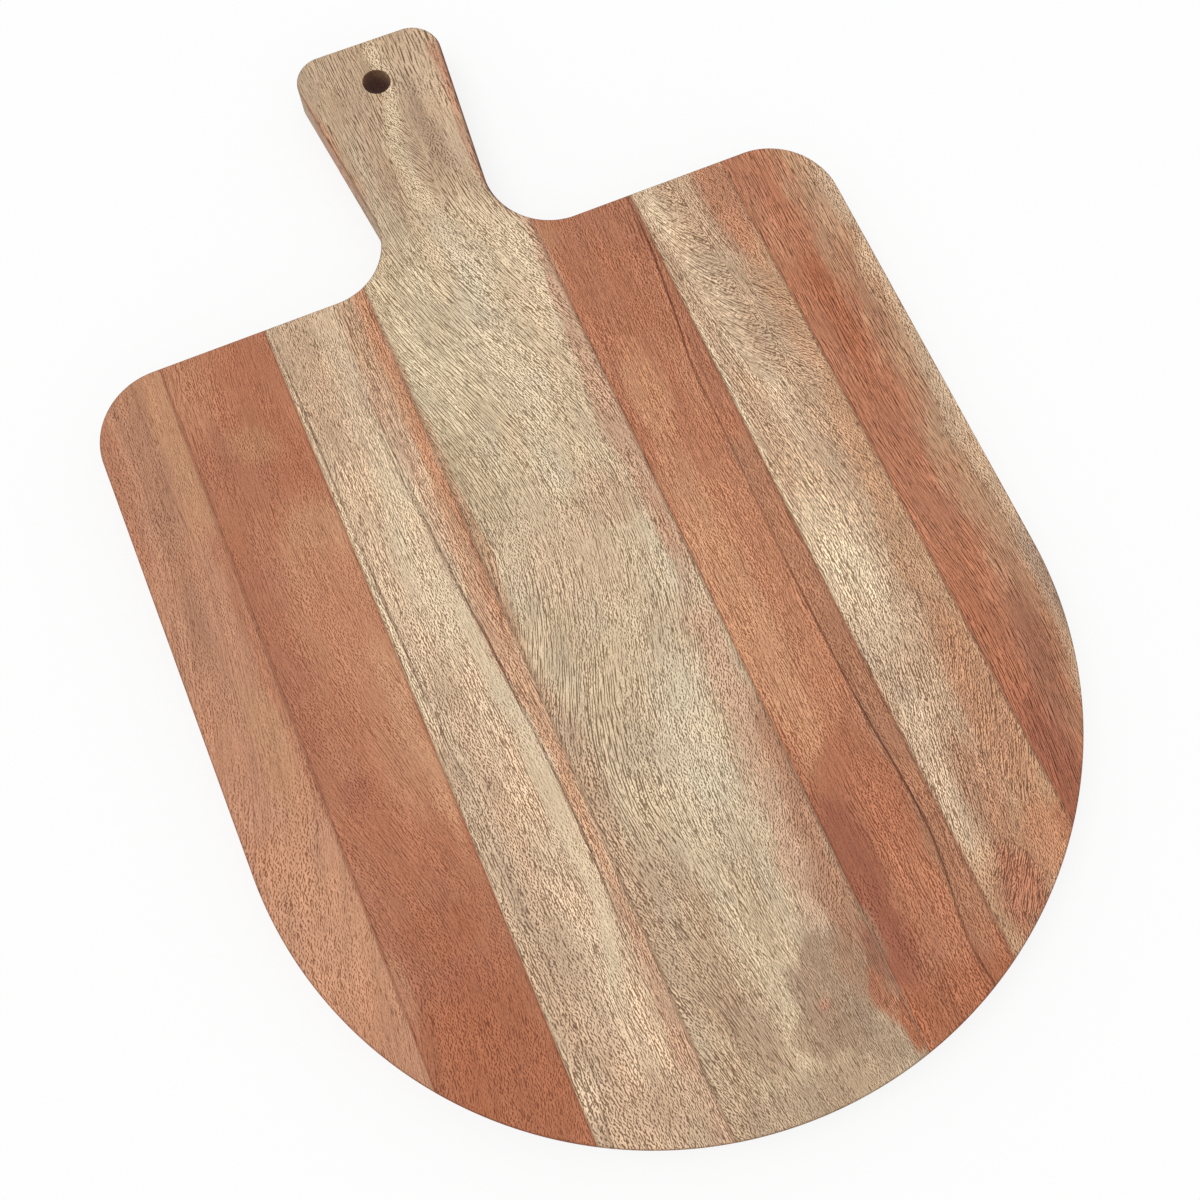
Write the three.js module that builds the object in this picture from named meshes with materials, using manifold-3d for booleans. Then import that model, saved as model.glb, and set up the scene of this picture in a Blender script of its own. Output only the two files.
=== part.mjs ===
// Pizza board: a paddle with a short flared handle, sawn from a panel of edge-glued hardwood staves.
// Millimetres. X runs across the staves, Y along them towards the handle, Z up from the underside.
// The origin is on the underside, in the middle of the board's width and length.

import * as THREE from 'three';
import { mergeVertices } from 'three/addons/utils/BufferGeometryUtils.js';
import Module from 'manifold-3d';

// Panel: thickness, glue film, and the width of each stave from left to right.
const BOARD_THICKNESS = 15;
const GLUE_THICKNESS = 0.2;
const LEFT_OUTER_WIDTH = 30.4;
const LEFT_MIDDLE_WIDTH = 41.1;
const LEFT_INNER_WIDTH = 40.5;
const CENTRE_WIDTH = 69.6;
const RIGHT_INNER_WIDTH = 39.9;
const RIGHT_MIDDLE_WIDTH = 39.6;
const RIGHT_OUTER_WIDTH = 37.7;

// Outline of the body: half-elliptic end, straight sides and rounded shoulders.
const ROUND_END_DEPTH = 145;
const SIDE_LENGTH = 161;
const SHOULDER_RADIUS = 28;

// Handle: from the shoulder line to the tip, wider at the tip than at its root.
const HANDLE_LENGTH = 106;
const HANDLE_ROOT_WIDTH = 40.5;
const HANDLE_TIP_WIDTH = 63;
const HANDLE_FILLET_RADIUS = 26;
const TIP_RADIUS = 12;

// Hanging hole through the handle.
const HOLE_DIAMETER = 11;
const HOLE_FROM_TIP = 20;
const HOLE_EASE = 0.4;

// Rounding of the outer edges.
const EDGE_EASE = 1.2;

// Fineness of the curves, and how far a cutting solid reaches past what it cuts.
const ARC_STEPS = 10;
const EASE_STEPS = 3;
const HOLE_STEPS = 32;
const CUT_OVERRUN = 5;

const STAVES = [
  { name: 'left_outer_stave', width: LEFT_OUTER_WIDTH, colour: 0xb98363 },
  { name: 'left_middle_stave', width: LEFT_MIDDLE_WIDTH, colour: 0xb8775a },
  { name: 'left_inner_stave', width: LEFT_INNER_WIDTH, colour: 0xc3a684 },
  { name: 'centre_handle_stave', width: CENTRE_WIDTH, colour: 0xb8a182 },
  { name: 'right_inner_stave', width: RIGHT_INNER_WIDTH, colour: 0xb6775a },
  { name: 'right_middle_stave', width: RIGHT_MIDDLE_WIDTH, colour: 0xc0a07c },
  { name: 'right_outer_stave', width: RIGHT_OUTER_WIDTH, colour: 0xb78466 },
];
const HANDLE_STAVE = 'centre_handle_stave';
const GLUE_LINES = [
  'left_outer_glue_line',
  'left_middle_glue_line',
  'left_inner_glue_line',
  'right_inner_glue_line',
  'right_middle_glue_line',
  'right_outer_glue_line',
];
const GLUE_COLOUR = 0x6b4a35;

const staveTotal = STAVES.reduce((sum, stave) => sum + stave.width, 0);
const boardWidth = staveTotal + GLUE_LINES.length * GLUE_THICKNESS;
const halfWidth = boardWidth / 2;
const boardLength = ROUND_END_DEPTH + SIDE_LENGTH + SHOULDER_RADIUS + HANDLE_LENGTH;
const sideStartY = ROUND_END_DEPTH - boardLength / 2;
const shoulderCentreY = sideStartY + SIDE_LENGTH;
const shoulderY = shoulderCentreY + SHOULDER_RADIUS;
const tipY = shoulderY + HANDLE_LENGTH;
const handleFreeY = shoulderY + HANDLE_FILLET_RADIUS;

const wasm = await Module();
wasm.setup();

/** A closed three.js geometry as a solid that can be cut. */
function solidFrom(geometry) {
  const bare = geometry.clone();
  bare.deleteAttribute('normal');
  bare.deleteAttribute('uv');
  const merged = mergeVertices(bare);
  return new wasm.Manifold(new wasm.Mesh({
    numProp: 3,
    vertProperties: new Float32Array(merged.attributes.position.array),
    triVerts: new Uint32Array(merged.index.array),
  }));
}

/** A solid as a three.js geometry. */
function geometryFrom(solid) {
  const mesh = solid.getMesh();
  const geometry = new THREE.BufferGeometry();
  geometry.setAttribute('position', new THREE.BufferAttribute(new Float32Array(mesh.vertProperties), 3));
  geometry.setIndex(new THREE.BufferAttribute(new Uint32Array(mesh.triVerts), 1));
  geometry.computeVertexNormals();
  return geometry;
}

/** The paddle outline, counterclockwise from the lowest point of the round end. */
function paddleOutline() {
  const flare = Math.atan2((HANDLE_TIP_WIDTH - HANDLE_ROOT_WIDTH) / 2, HANDLE_LENGTH);
  const sideX = (y) => HANDLE_ROOT_WIDTH / 2 + (y - shoulderY) * Math.tan(flare);
  const filletX = sideX(handleFreeY) + HANDLE_FILLET_RADIUS / Math.cos(flare);
  const tipCentreY = tipY - TIP_RADIUS;
  const tipCentreX = sideX(tipCentreY) - TIP_RADIUS / Math.cos(flare);
  const shoulderX = halfWidth - SHOULDER_RADIUS;
  const quarter = Math.PI / 2;

  const outline = new THREE.Shape();
  outline.absellipse(0, sideStartY, halfWidth, ROUND_END_DEPTH, -quarter, 0, false);
  outline.absarc(shoulderX, shoulderCentreY, SHOULDER_RADIUS, 0, quarter, false);
  outline.absarc(filletX, handleFreeY, HANDLE_FILLET_RADIUS, -quarter, -Math.PI - flare, true);
  outline.absarc(tipCentreX, tipCentreY, TIP_RADIUS, -flare, quarter, false);
  outline.absarc(-tipCentreX, tipCentreY, TIP_RADIUS, quarter, Math.PI + flare, false);
  outline.absarc(-filletX, handleFreeY, HANDLE_FILLET_RADIUS, flare, -quarter, true);
  outline.absarc(-shoulderX, shoulderCentreY, SHOULDER_RADIUS, quarter, Math.PI, false);
  outline.absellipse(0, sideStartY, halfWidth, ROUND_END_DEPTH, Math.PI, 3 * quarter, false);
  return outline;
}

/** The sawn paddle as one blank, with its outer edges eased. */
function paddleBlank() {
  const geometry = new THREE.ExtrudeGeometry(paddleOutline(), {
    depth: BOARD_THICKNESS - 2 * EDGE_EASE,
    curveSegments: ARC_STEPS,
    bevelEnabled: true,
    bevelThickness: EDGE_EASE,
    bevelSize: EDGE_EASE,
    bevelOffset: -EDGE_EASE,
    bevelSegments: EASE_STEPS,
  });
  geometry.translate(0, 0, EDGE_EASE);
  return solidFrom(geometry);
}

/** The drill for the hanging hole, flared at both faces to break the rim. */
function holeDrill() {
  const radius = HOLE_DIAMETER / 2;
  const flareRadius = radius + HOLE_EASE + CUT_OVERRUN;
  const profile = [
    new THREE.Vector2(0, -CUT_OVERRUN),
    new THREE.Vector2(flareRadius, -CUT_OVERRUN),
    new THREE.Vector2(radius, HOLE_EASE),
    new THREE.Vector2(radius, BOARD_THICKNESS - HOLE_EASE),
    new THREE.Vector2(flareRadius, BOARD_THICKNESS + CUT_OVERRUN),
    new THREE.Vector2(0, BOARD_THICKNESS + CUT_OVERRUN),
  ];
  const geometry = new THREE.LatheGeometry(profile, HOLE_STEPS);
  geometry.rotateX(Math.PI / 2);
  geometry.translate(0, tipY - HOLE_FROM_TIP, 0);
  return solidFrom(geometry);
}

/** A block through the board's whole thickness, between two X and two Y limits. */
function throughBlock(lowX, highX, lowY, highY) {
  const corners = new THREE.Shape();
  corners.moveTo(lowX, lowY);
  corners.lineTo(highX, lowY);
  corners.lineTo(highX, highY);
  corners.lineTo(lowX, highY);
  const depth = BOARD_THICKNESS + 2 * CUT_OVERRUN;
  const geometry = new THREE.ExtrudeGeometry(corners, { depth, bevelEnabled: false });
  geometry.translate(0, 0, -CUT_OVERRUN);
  return solidFrom(geometry);
}

/** The strip of panel between two X limits, below the free part of the handle. */
function panelStrip(lowX, highX) {
  return throughBlock(lowX, highX, -boardLength / 2 - CUT_OVERRUN, handleFreeY);
}

/** The strip of panel that also takes in the whole handle. */
function handleStrip(lowX, highX) {
  const reachX = halfWidth + CUT_OVERRUN;
  const handle = throughBlock(-reachX, reachX, handleFreeY, tipY + CUT_OVERRUN);
  const body = throughBlock(lowX, highX, -boardLength / 2 - CUT_OVERRUN, handleFreeY + CUT_OVERRUN);
  return body.add(handle);
}

/** A named piece of the board with its own finish. */
function piece(name, solid, colour, roughness) {
  const material = new THREE.MeshStandardMaterial({ color: colour, roughness, metalness: 0 });
  const mesh = new THREE.Mesh(geometryFrom(solid), material);
  mesh.name = name;
  return mesh;
}

const blank = paddleBlank().subtract(holeDrill());
const board = new THREE.Group();
let edgeX = -halfWidth;

STAVES.forEach((stave, index) => {
  const isFirst = index === 0;
  const isLast = index === STAVES.length - 1;
  const lowX = isFirst ? edgeX - CUT_OVERRUN : edgeX;
  edgeX += stave.width;
  const highX = isLast ? edgeX + CUT_OVERRUN : edgeX;
  const strip = stave.name === HANDLE_STAVE ? handleStrip(lowX, highX) : panelStrip(lowX, highX);
  board.add(piece(stave.name, blank.intersect(strip), stave.colour, 0.55));
  if (!isLast) {
    const film = panelStrip(edgeX, edgeX + GLUE_THICKNESS);
    board.add(piece(GLUE_LINES[index], blank.intersect(film), GLUE_COLOUR, 0.7));
    edgeX += GLUE_THICKNESS;
  }
});

export default board;
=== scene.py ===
"""Looks of the pizza board: seven oiled hardwood staves glued edge to edge and sawn to a paddle.

The outline, the staves and their figure are worked out in millimetres in the part's own frame, with X across
the staves, Y along them towards the handle and Z up from the underside. The meshes are written in metres.
"""
import logging
import math
from dataclasses import dataclass, field
from enum import Enum

import bmesh
import bpy
import numpy as np
import numpy.typing as npt
from mathutils import Matrix, Vector


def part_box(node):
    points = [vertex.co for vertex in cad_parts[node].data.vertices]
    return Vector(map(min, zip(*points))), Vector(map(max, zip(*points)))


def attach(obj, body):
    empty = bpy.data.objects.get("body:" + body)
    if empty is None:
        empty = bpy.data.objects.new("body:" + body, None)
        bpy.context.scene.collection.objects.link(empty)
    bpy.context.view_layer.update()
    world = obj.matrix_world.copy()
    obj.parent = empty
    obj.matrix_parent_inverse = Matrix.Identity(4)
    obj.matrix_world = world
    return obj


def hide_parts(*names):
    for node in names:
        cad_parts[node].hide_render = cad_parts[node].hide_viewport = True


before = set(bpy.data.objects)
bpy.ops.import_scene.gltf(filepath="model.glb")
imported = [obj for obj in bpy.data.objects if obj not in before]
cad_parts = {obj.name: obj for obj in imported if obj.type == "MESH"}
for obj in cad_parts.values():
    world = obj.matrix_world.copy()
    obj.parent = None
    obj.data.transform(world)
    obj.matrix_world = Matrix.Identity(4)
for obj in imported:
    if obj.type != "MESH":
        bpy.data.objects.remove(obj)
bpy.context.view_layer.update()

Array = npt.NDArray[np.float64]
Row = tuple[float, ...]
Socket = bpy.types.NodeSocket
Sockets = bpy.types.bpy_prop_collection
MM = 0.001

# Light that the oil film throws back, and the mean darkening by pores and by fine marks, which the tones allow for.
SHEEN = 0.018
PORE_COVER = 0.04
MARK_COVER = 0.29
# What end grain, plus the painted shade on the rounded rims, does to the wood's colour, and the tint of the painted
# shade in the bore and along the handle's right edge.
END_GRAIN_AND_RIM_SHADE_TINT = (0.5, 0.4, 0.33)
PAINTED_SHADE_TINT = (0.36, 0.17, 0.13)
# How far ragged noise moves the sides of a streak, as a share of their fade, and its ends, in millimetres.
RAGGED_SIDE = 0.35
RAGGED_END = 4.0
# Strength of the finer part of that noise, and the least of each colour that a tone keeps.
RAGGED_FINE = 0.5
TONE_FLOOR = 0.01
# Soft drifts of lightness and of warmth, which moves red one way and blue the other.
SOFT_LIGHT = 0.025
SOFT_WARMTH = 0.025
WARMER = (1.0, 0.0, -1.0)
# Steps in millimetres that give each stave, and each leaning place, its own stretch of grain.
STAVES_APART = (61.0, 37.0, 0.0)
LEANS_APART = 90.0
LEANS_FIELD = 400.0
# Half the length over which the run of the fibres is summed, in millimetres.
FLOW_REACH = 240.0
# How far the figure moves along the board for each step down through it, and a gap at which no vein shows.
END_SLANT = 0.6
NO_VEIN = 50.0
# Points closer than this are one, edges shorter than this go, both in metres, and the angle of a sharp edge.
MERGE = 2e-6
SLIVER = 1e-7
CREASE_DEGREES = 38.0
log = logging.getLogger("pizza_board")


class Tone(Enum):
    """Wood colours as they show on the oiled face, in sRGB steps of 255."""

    PINK_TAN = (186, 136, 108)
    GREY_BROWN = (166, 121, 95)
    GOLD_TAN = (186, 139, 105)
    PALE_ORANGE = (191, 142, 112)
    ORANGE_TAN = (183, 130, 100)
    RED_TAN = (177, 120, 92)
    RED_BROWN = (171, 113, 86)
    DEEP_RED = (164, 103, 75)
    BRICK = (155, 98, 77)
    WARM_ORANGE = (188, 134, 103)
    AMBER = (195, 145, 112)
    CREAM = (206, 179, 150)
    BRIGHT_CREAM = (215, 192, 162)
    GREY_CREAM = (187, 158, 131)
    TAN = (183, 145, 115)
    KHAKI = (201, 179, 150)
    GREEN_KHAKI = (197, 179, 149)
    SAGE = (186, 165, 138)
    PINK_BEIGE = (208, 180, 151)
    STRAW = (208, 190, 162)
    PINK_BROWN = (190, 153, 127)
    FAWN = (182, 155, 128)
    TAUPE = (166, 139, 115)
    SMUDGE_RED = (186, 121, 97)
    DARK_BROWN = (152, 104, 82)
    MOSS = (173, 151, 121)
    ASH_BROWN = (154, 128, 109)

    @property
    def linear(self) -> Array:
        """The tone as linear light, by the sRGB curve."""
        share = np.array(self.value, float) / 255.0
        return np.where(share <= 0.04045, share / 12.92, ((share + 0.055) / 1.055) ** 2.4)


class Marks(Enum):
    """How the grain shows on a piece of wood: weights of its dark pores, short flecks and long lines."""

    SMOOTH = (0.05, 0.3, 0.2)
    FINE = (0.4, 0.6, 0.4)
    PORED = (1.0, 0.7, 0.6)
    FLECKED = (0.95, 1.0, 0.15)
    LINED = (0.6, 0.3, 1.35)
    COMBED = (0.5, 0.2, 0.7)
    SAWN = (0.35, 0.25, 0.6)

    @property
    def weights(self) -> Array:
        """The three weights as an array."""
        return np.array(self.value, float)


def smooth(share: Array) -> Array:
    """Ease from 0 to 1: the share clipped to its range, t, gives t squared times (3 - 2 t)."""
    t = np.clip(share, 0.0, 1.0)
    return t * t * (3.0 - 2.0 * t)


def faded(inside: Array, width: float) -> Array:
    """Ease from 0 to 1 over a width centred on a border, from the distance inside that border."""
    return smooth(inside / width + 0.5)


def along(knots: tuple[Row, ...], y: Array, column: int) -> Array:
    """A value carried along Y through its knots by cubic pieces.

    Between two knots the value follows the Hermite cubic whose end slopes are the slopes of the chord between
    the knots on either side; beyond the last knots it stays level.

    Args:
        knots: rows whose first number is Y and whose other numbers are the values there.
        y: places at which the value is wanted.
        column: which number of a row is wanted.

    Returns:
        The value at each place.
    """
    table = np.array(sorted(knots), float)
    at, value = table[:, 0], table[:, column]
    if len(at) < 2:
        return np.full_like(y, value[0])
    slope = np.gradient(value, at)
    place = np.clip(y, at[0], at[-1])
    low = np.clip(np.searchsorted(at, place, side="right") - 1, 0, len(at) - 2)
    step = at[low + 1] - at[low]
    t = (place - at[low]) / step
    start = (1.0 + 2.0 * t) * (1.0 - t) ** 2 * value[low] + t * (1.0 - t) ** 2 * step * slope[low]
    end = t**2 * (3.0 - 2.0 * t) * value[low + 1] - t**2 * (1.0 - t) * step * slope[low + 1]
    return start + end


@dataclass(frozen=True)
class Drift:
    """Soft seeded noise over the board's plan.

    Attributes:
        seed: seed of the noise.
        across: width of a cell in millimetres.
        length: length of a cell in millimetres.
        size: cells after which the noise repeats.
    """

    seed: int
    across: float
    length: float
    size: int = 128

    def at(self, x: Array, y: Array) -> Array:
        """Noise from -1 to 1: random lattice values blended by eased shares in both directions.

        Args:
            x: places across.
            y: places along.

        Returns:
            The noise at each place.
        """
        lattice = np.random.default_rng(self.seed).uniform(-1.0, 1.0, (self.size, self.size))
        p, q = x / self.across, y / self.length
        i, j = np.floor(p).astype(int), np.floor(q).astype(int)
        s, t = smooth(p - i), smooth(q - j)
        i0, i1, j0, j1 = i % self.size, (i + 1) % self.size, j % self.size, (j + 1) % self.size
        near = lattice[i0, j0] * (1.0 - s) + lattice[i1, j0] * s
        far = lattice[i0, j1] * (1.0 - s) + lattice[i1, j1] * s
        return near * (1.0 - t) + far * t


@dataclass(frozen=True)
class Streak:
    """A band of another tone that follows the grain.

    Attributes:
        tone: colour of the band.
        knots: rows of Y, middle X and half width.
        share: how far the band covers the wood below it.
        edge: width over which its sides fade.
        fade: length over which its ends fade.
        marks: how the pores show in it, or None to keep what is there.
    """

    tone: Tone
    knots: tuple[Row, ...]
    share: float = 1.0
    edge: float = 4.0
    fade: float = 14.0
    marks: Marks | None = None

    def mask(self, x: Array, y: Array, ragged: Array) -> Array:
        """Cover of the band: eased distance inside its sides times eased distance inside its ends.

        Args:
            x: places across the board.
            y: places along the board.
            ragged: noise that tears its border.

        Returns:
            A share for each place.
        """
        middle, half = along(self.knots, y, 1), along(self.knots, y, 2)
        first, last = min(k[0] for k in self.knots), max(k[0] for k in self.knots)
        side = faded(half - np.abs(x - middle + RAGGED_SIDE * self.edge * ragged), self.edge)
        ends = faded(y - first + RAGGED_END * ragged, self.fade)
        ends = ends * faded(last - y + RAGGED_END * ragged, self.fade)
        return self.share * side * ends


@dataclass(frozen=True)
class Blotch:
    """A rounded patch of another tone.

    Attributes:
        tone: colour of the patch.
        x: middle across the board.
        y: middle along the board.
        across: half width.
        reach: half length.
        share: how far it covers the wood below it.
        soft: share of its radius over which it fades.
        marks: how the pores show in it, or None to keep what is there.
        torn: how ragged its border is.
        lean: how far it moves across for each step along.
    """

    tone: Tone
    x: float
    y: float
    across: float
    reach: float
    share: float = 1.0
    soft: float = 0.8
    marks: Marks | None = None
    torn: float = 0.12
    lean: float = 0.0

    def mask(self, x: Array, y: Array, ragged: Array) -> Array:
        """Cover of the patch: one at its middle, eased to nothing around its ellipse.

        Args:
            x: places across the board.
            y: places along the board.
            ragged: noise that tears its border.

        Returns:
            A share for each place.
        """
        dy = y - self.y
        dx = x - self.x - self.lean * dy
        radius = np.hypot(dx / self.across, dy / self.reach) + self.torn * ragged
        return self.share * faded(1.0 - radius, self.soft)


@dataclass(frozen=True)
class Vein:
    """A thin dark line of growth or a hairline crack.

    Attributes:
        knots: rows of Y, X and strength.
        fade: length over which its ends fade.
    """

    knots: tuple[Row, ...]
    fade: float = 6.0

    def gap(self, x: Array, y: Array) -> Array:
        """Signed distance across the board from the line."""
        return x - along(self.knots, y, 1)

    def weight(self, y: Array) -> Array:
        """Strength along the line, nothing beyond its ends.

        Args:
            y: places along the board.

        Returns:
            The strength at each place.
        """
        table = np.array(sorted(self.knots), float)
        inside = smooth((y - table[0, 0]) / self.fade + 1.0) * smooth((table[-1, 0] - y) / self.fade + 1.0)
        return np.interp(y, table[:, 0], table[:, 2]) * inside


@dataclass(frozen=True)
class Lean:
    """A place where the fibres lean.

    Attributes:
        x: middle across the board.
        y: middle along the board.
        angle: lean in degrees, from Y towards X.
        across: half width of the place.
        reach: half length of the place.
        soft: share of its radius over which it fades.
    """

    x: float
    y: float
    angle: float
    across: float
    reach: float
    soft: float = 0.7

    def mask(self, x: Array, y: Array) -> Array:
        """Cover of the place: one inside its ellipse, eased to nothing around it."""
        radius = np.hypot((x - self.x) / self.across, (y - self.y) / self.reach)
        return faded(1.0 - radius, self.soft)

    def fibres(self, x: Array, y: Array) -> tuple[Array, Array]:
        """Places across and along the leaning fibres: turned about the middle by the lean.

        Args:
            x: places across the board.
            y: places along the board.

        Returns:
            Places across and along, one number for each place.
        """
        turn = math.radians(self.angle)
        dx, dy = x - self.x, y - self.y
        across = dx * math.cos(turn) - dy * math.sin(turn)
        return across, dx * math.sin(turn) + dy * math.cos(turn)


@dataclass(frozen=True)
class Feather:
    """Barbs that branch off a spine to the right and run down, leaning more the further they reach.

    Attributes:
        spine: rows of Y and X.
        across: how far the barbs reach.
        first: lean of a barb at the spine, in degrees.
        last: lean at its end.
        start: width over which the barbs begin at the spine.
        end: width and length over which they fade at their ends and above the spine.
        tail: length over which they fade below the spine.
    """

    spine: tuple[Row, ...]
    across: float
    first: float
    last: float
    start: float = 3.0
    end: float = 8.0
    tail: float = 16.0

    def mask(self, x: Array, y: Array) -> Array:
        """Cover of the barbs: eased from the spine to their ends, and past the ends of the spine.

        Args:
            x: places across the board.
            y: places along the board.

        Returns:
            A share for each place.
        """
        gap = x - along(self.spine, y, 1)
        low, high = min(row[0] for row in self.spine), max(row[0] for row in self.spine)
        sides = smooth(gap / self.start) * faded(self.across - gap, self.end)
        return sides * faded(y - low, self.tail) * faded(high - y, self.end)

    def fibres(self, x: Array, y: Array) -> tuple[Array, Array]:
        """Places across and along the barbs: Y plus the cotangent of the lean summed from the spine, and the reach.

        Args:
            x: places across the board.
            y: places along the board.

        Returns:
            Places across and along, one number for each place.
        """
        first, last = math.radians(self.first), math.radians(self.last)
        gap = np.clip(x - along(self.spine, y, 1), 0.0, self.across)
        turn = (last - first) / self.across
        fall = np.log(np.sin(first + turn * gap) / math.sin(first)) / turn
        slant = math.sin(0.5 * (first + last))
        return (y + fall) * slant, gap / slant


@dataclass(frozen=True)
class Flow:
    """Which way the fibres of a stave run.

    Attributes:
        rows: rows of Y and of the lean in degrees at the left side, in the middle and at the right side, positive
            where the fibres run from the upper right to the lower left.
    """

    rows: tuple[Row, ...] = ((0.0, 0.0, 0.0, 0.0),)

    def across(self, x: Array, y: Array, low: float, high: float) -> Array:
        """Place across the fibres: X less the tangent of the lean summed along Y, blended by a parabola across.

        Args:
            x: places across the board.
            y: places along the board.
            low: left side of the stave.
            high: right side of the stave.

        Returns:
            A number that stays the same along each fibre.
        """
        steps = np.arange(-FLOW_REACH, FLOW_REACH + 1.0)
        side = 2.0 * (x - low) / (high - low) - 1.0
        blend = (0.5 * side * (side - 1.0), 1.0 - side**2, 0.5 * side * (side + 1.0))
        moved = np.zeros_like(x)
        for column, share in enumerate(blend, start=1):
            total = np.cumsum(np.tan(np.radians(along(self.rows, steps, column))))
            moved += share * (np.interp(y, steps, total) - total[len(steps) // 2])
        return x - moved


@dataclass(frozen=True)
class StaveFigure:
    """Colour and grain of one stave.

    Attributes:
        base: tone of the plain wood.
        marks: how the pores show on the plain wood.
        areas: streaks and patches, laid one over another.
        veins: up to three thin dark lines.
        flow: which way the fibres run.
        leans: small places where the fibres leave the flow.
        seed: seed of the soft noise.
        streaky: strength of the long soft streaks.
        slant: how far the figure moves across for each step down through the board.
    """

    base: Tone
    marks: Marks
    areas: tuple[Streak | Blotch, ...] = ()
    veins: tuple[Vein, ...] = ()
    flow: Flow = Flow()
    leans: tuple[Lean | Feather, ...] = ()
    seed: int = 1
    streaky: float = 0.03
    slant: float = 0.35

    def tones(self, x: Array, y: Array) -> tuple[Array, Array]:
        """Tone and marks at each place: the base, then each area over it, then soft drifts of lightness and warmth.

        What the pores will darken is added, and what the oil film will throw back is taken off.

        Args:
            x: places across the board.
            y: places along the board.

        Returns:
            Linear colours and the weights of the marks, three numbers each.
        """
        ragged = Drift(self.seed, across=5.0, length=13.0).at(x, y)
        ragged = ragged + RAGGED_FINE * Drift(self.seed + 1, across=2.2, length=6.0).at(x, y)
        colour = np.broadcast_to(self.base.linear, (len(x), 3)).copy()
        marks = np.broadcast_to(self.marks.weights, (len(x), 3)).copy()
        for area in self.areas:
            cover = area.mask(x, y, ragged)[:, None]
            colour += (area.tone.linear - colour) * cover
            if area.marks is not None:
                marks += (area.marks.weights - marks) * cover
        light = self.streaky * Drift(self.seed + 2, across=3.0, length=45.0).at(x, y)
        light += SOFT_LIGHT * Drift(self.seed + 3, across=8.0, length=13.0).at(x, y)
        warm = SOFT_WARMTH * Drift(self.seed + 4, across=9.0, length=18.0).at(x, y)
        colour *= 1.0 + light[:, None] + warm[:, None] * np.array(WARMER)
        colour = colour * (1.0 + PORE_COVER * marks[:, :1]) - SHEEN
        return np.clip(colour, TONE_FLOOR, 1.0), marks

    def grain(self, points: Array, low: float, high: float) -> Array:
        """Places along the fibres: across the flow, Y and depth, moved apart for each stave.

        Args:
            points: places in millimetres.
            low: left side of the stave.
            high: right side of the stave.

        Returns:
            Places across, along and in depth.
        """
        place = points + np.array(STAVES_APART) * self.seed
        place[:, 0] += self.flow.across(points[:, 0], points[:, 1], low, high) - points[:, 0]
        return place

    def leaning(self, points: Array) -> tuple[Array, Array]:
        """Places along the leaning fibres, each by the lean that covers it most, and how far they count.

        Args:
            points: places in millimetres.

        Returns:
            Places across, along and in depth, and the cover of the lean.
        """
        x, y = points[:, 0], points[:, 1]
        place, cover = points.copy(), np.zeros(len(x))
        for number, lean in enumerate(self.leans):
            mask = lean.mask(x, y)
            across, length = lean.fibres(x, y)
            turned = np.stack((across + LEANS_APART * number, length, points[:, 2]), axis=1)
            place = np.where((mask > cover)[:, None], turned + LEANS_FIELD, place)
            cover = np.maximum(cover, mask)
        return place, cover


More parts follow.
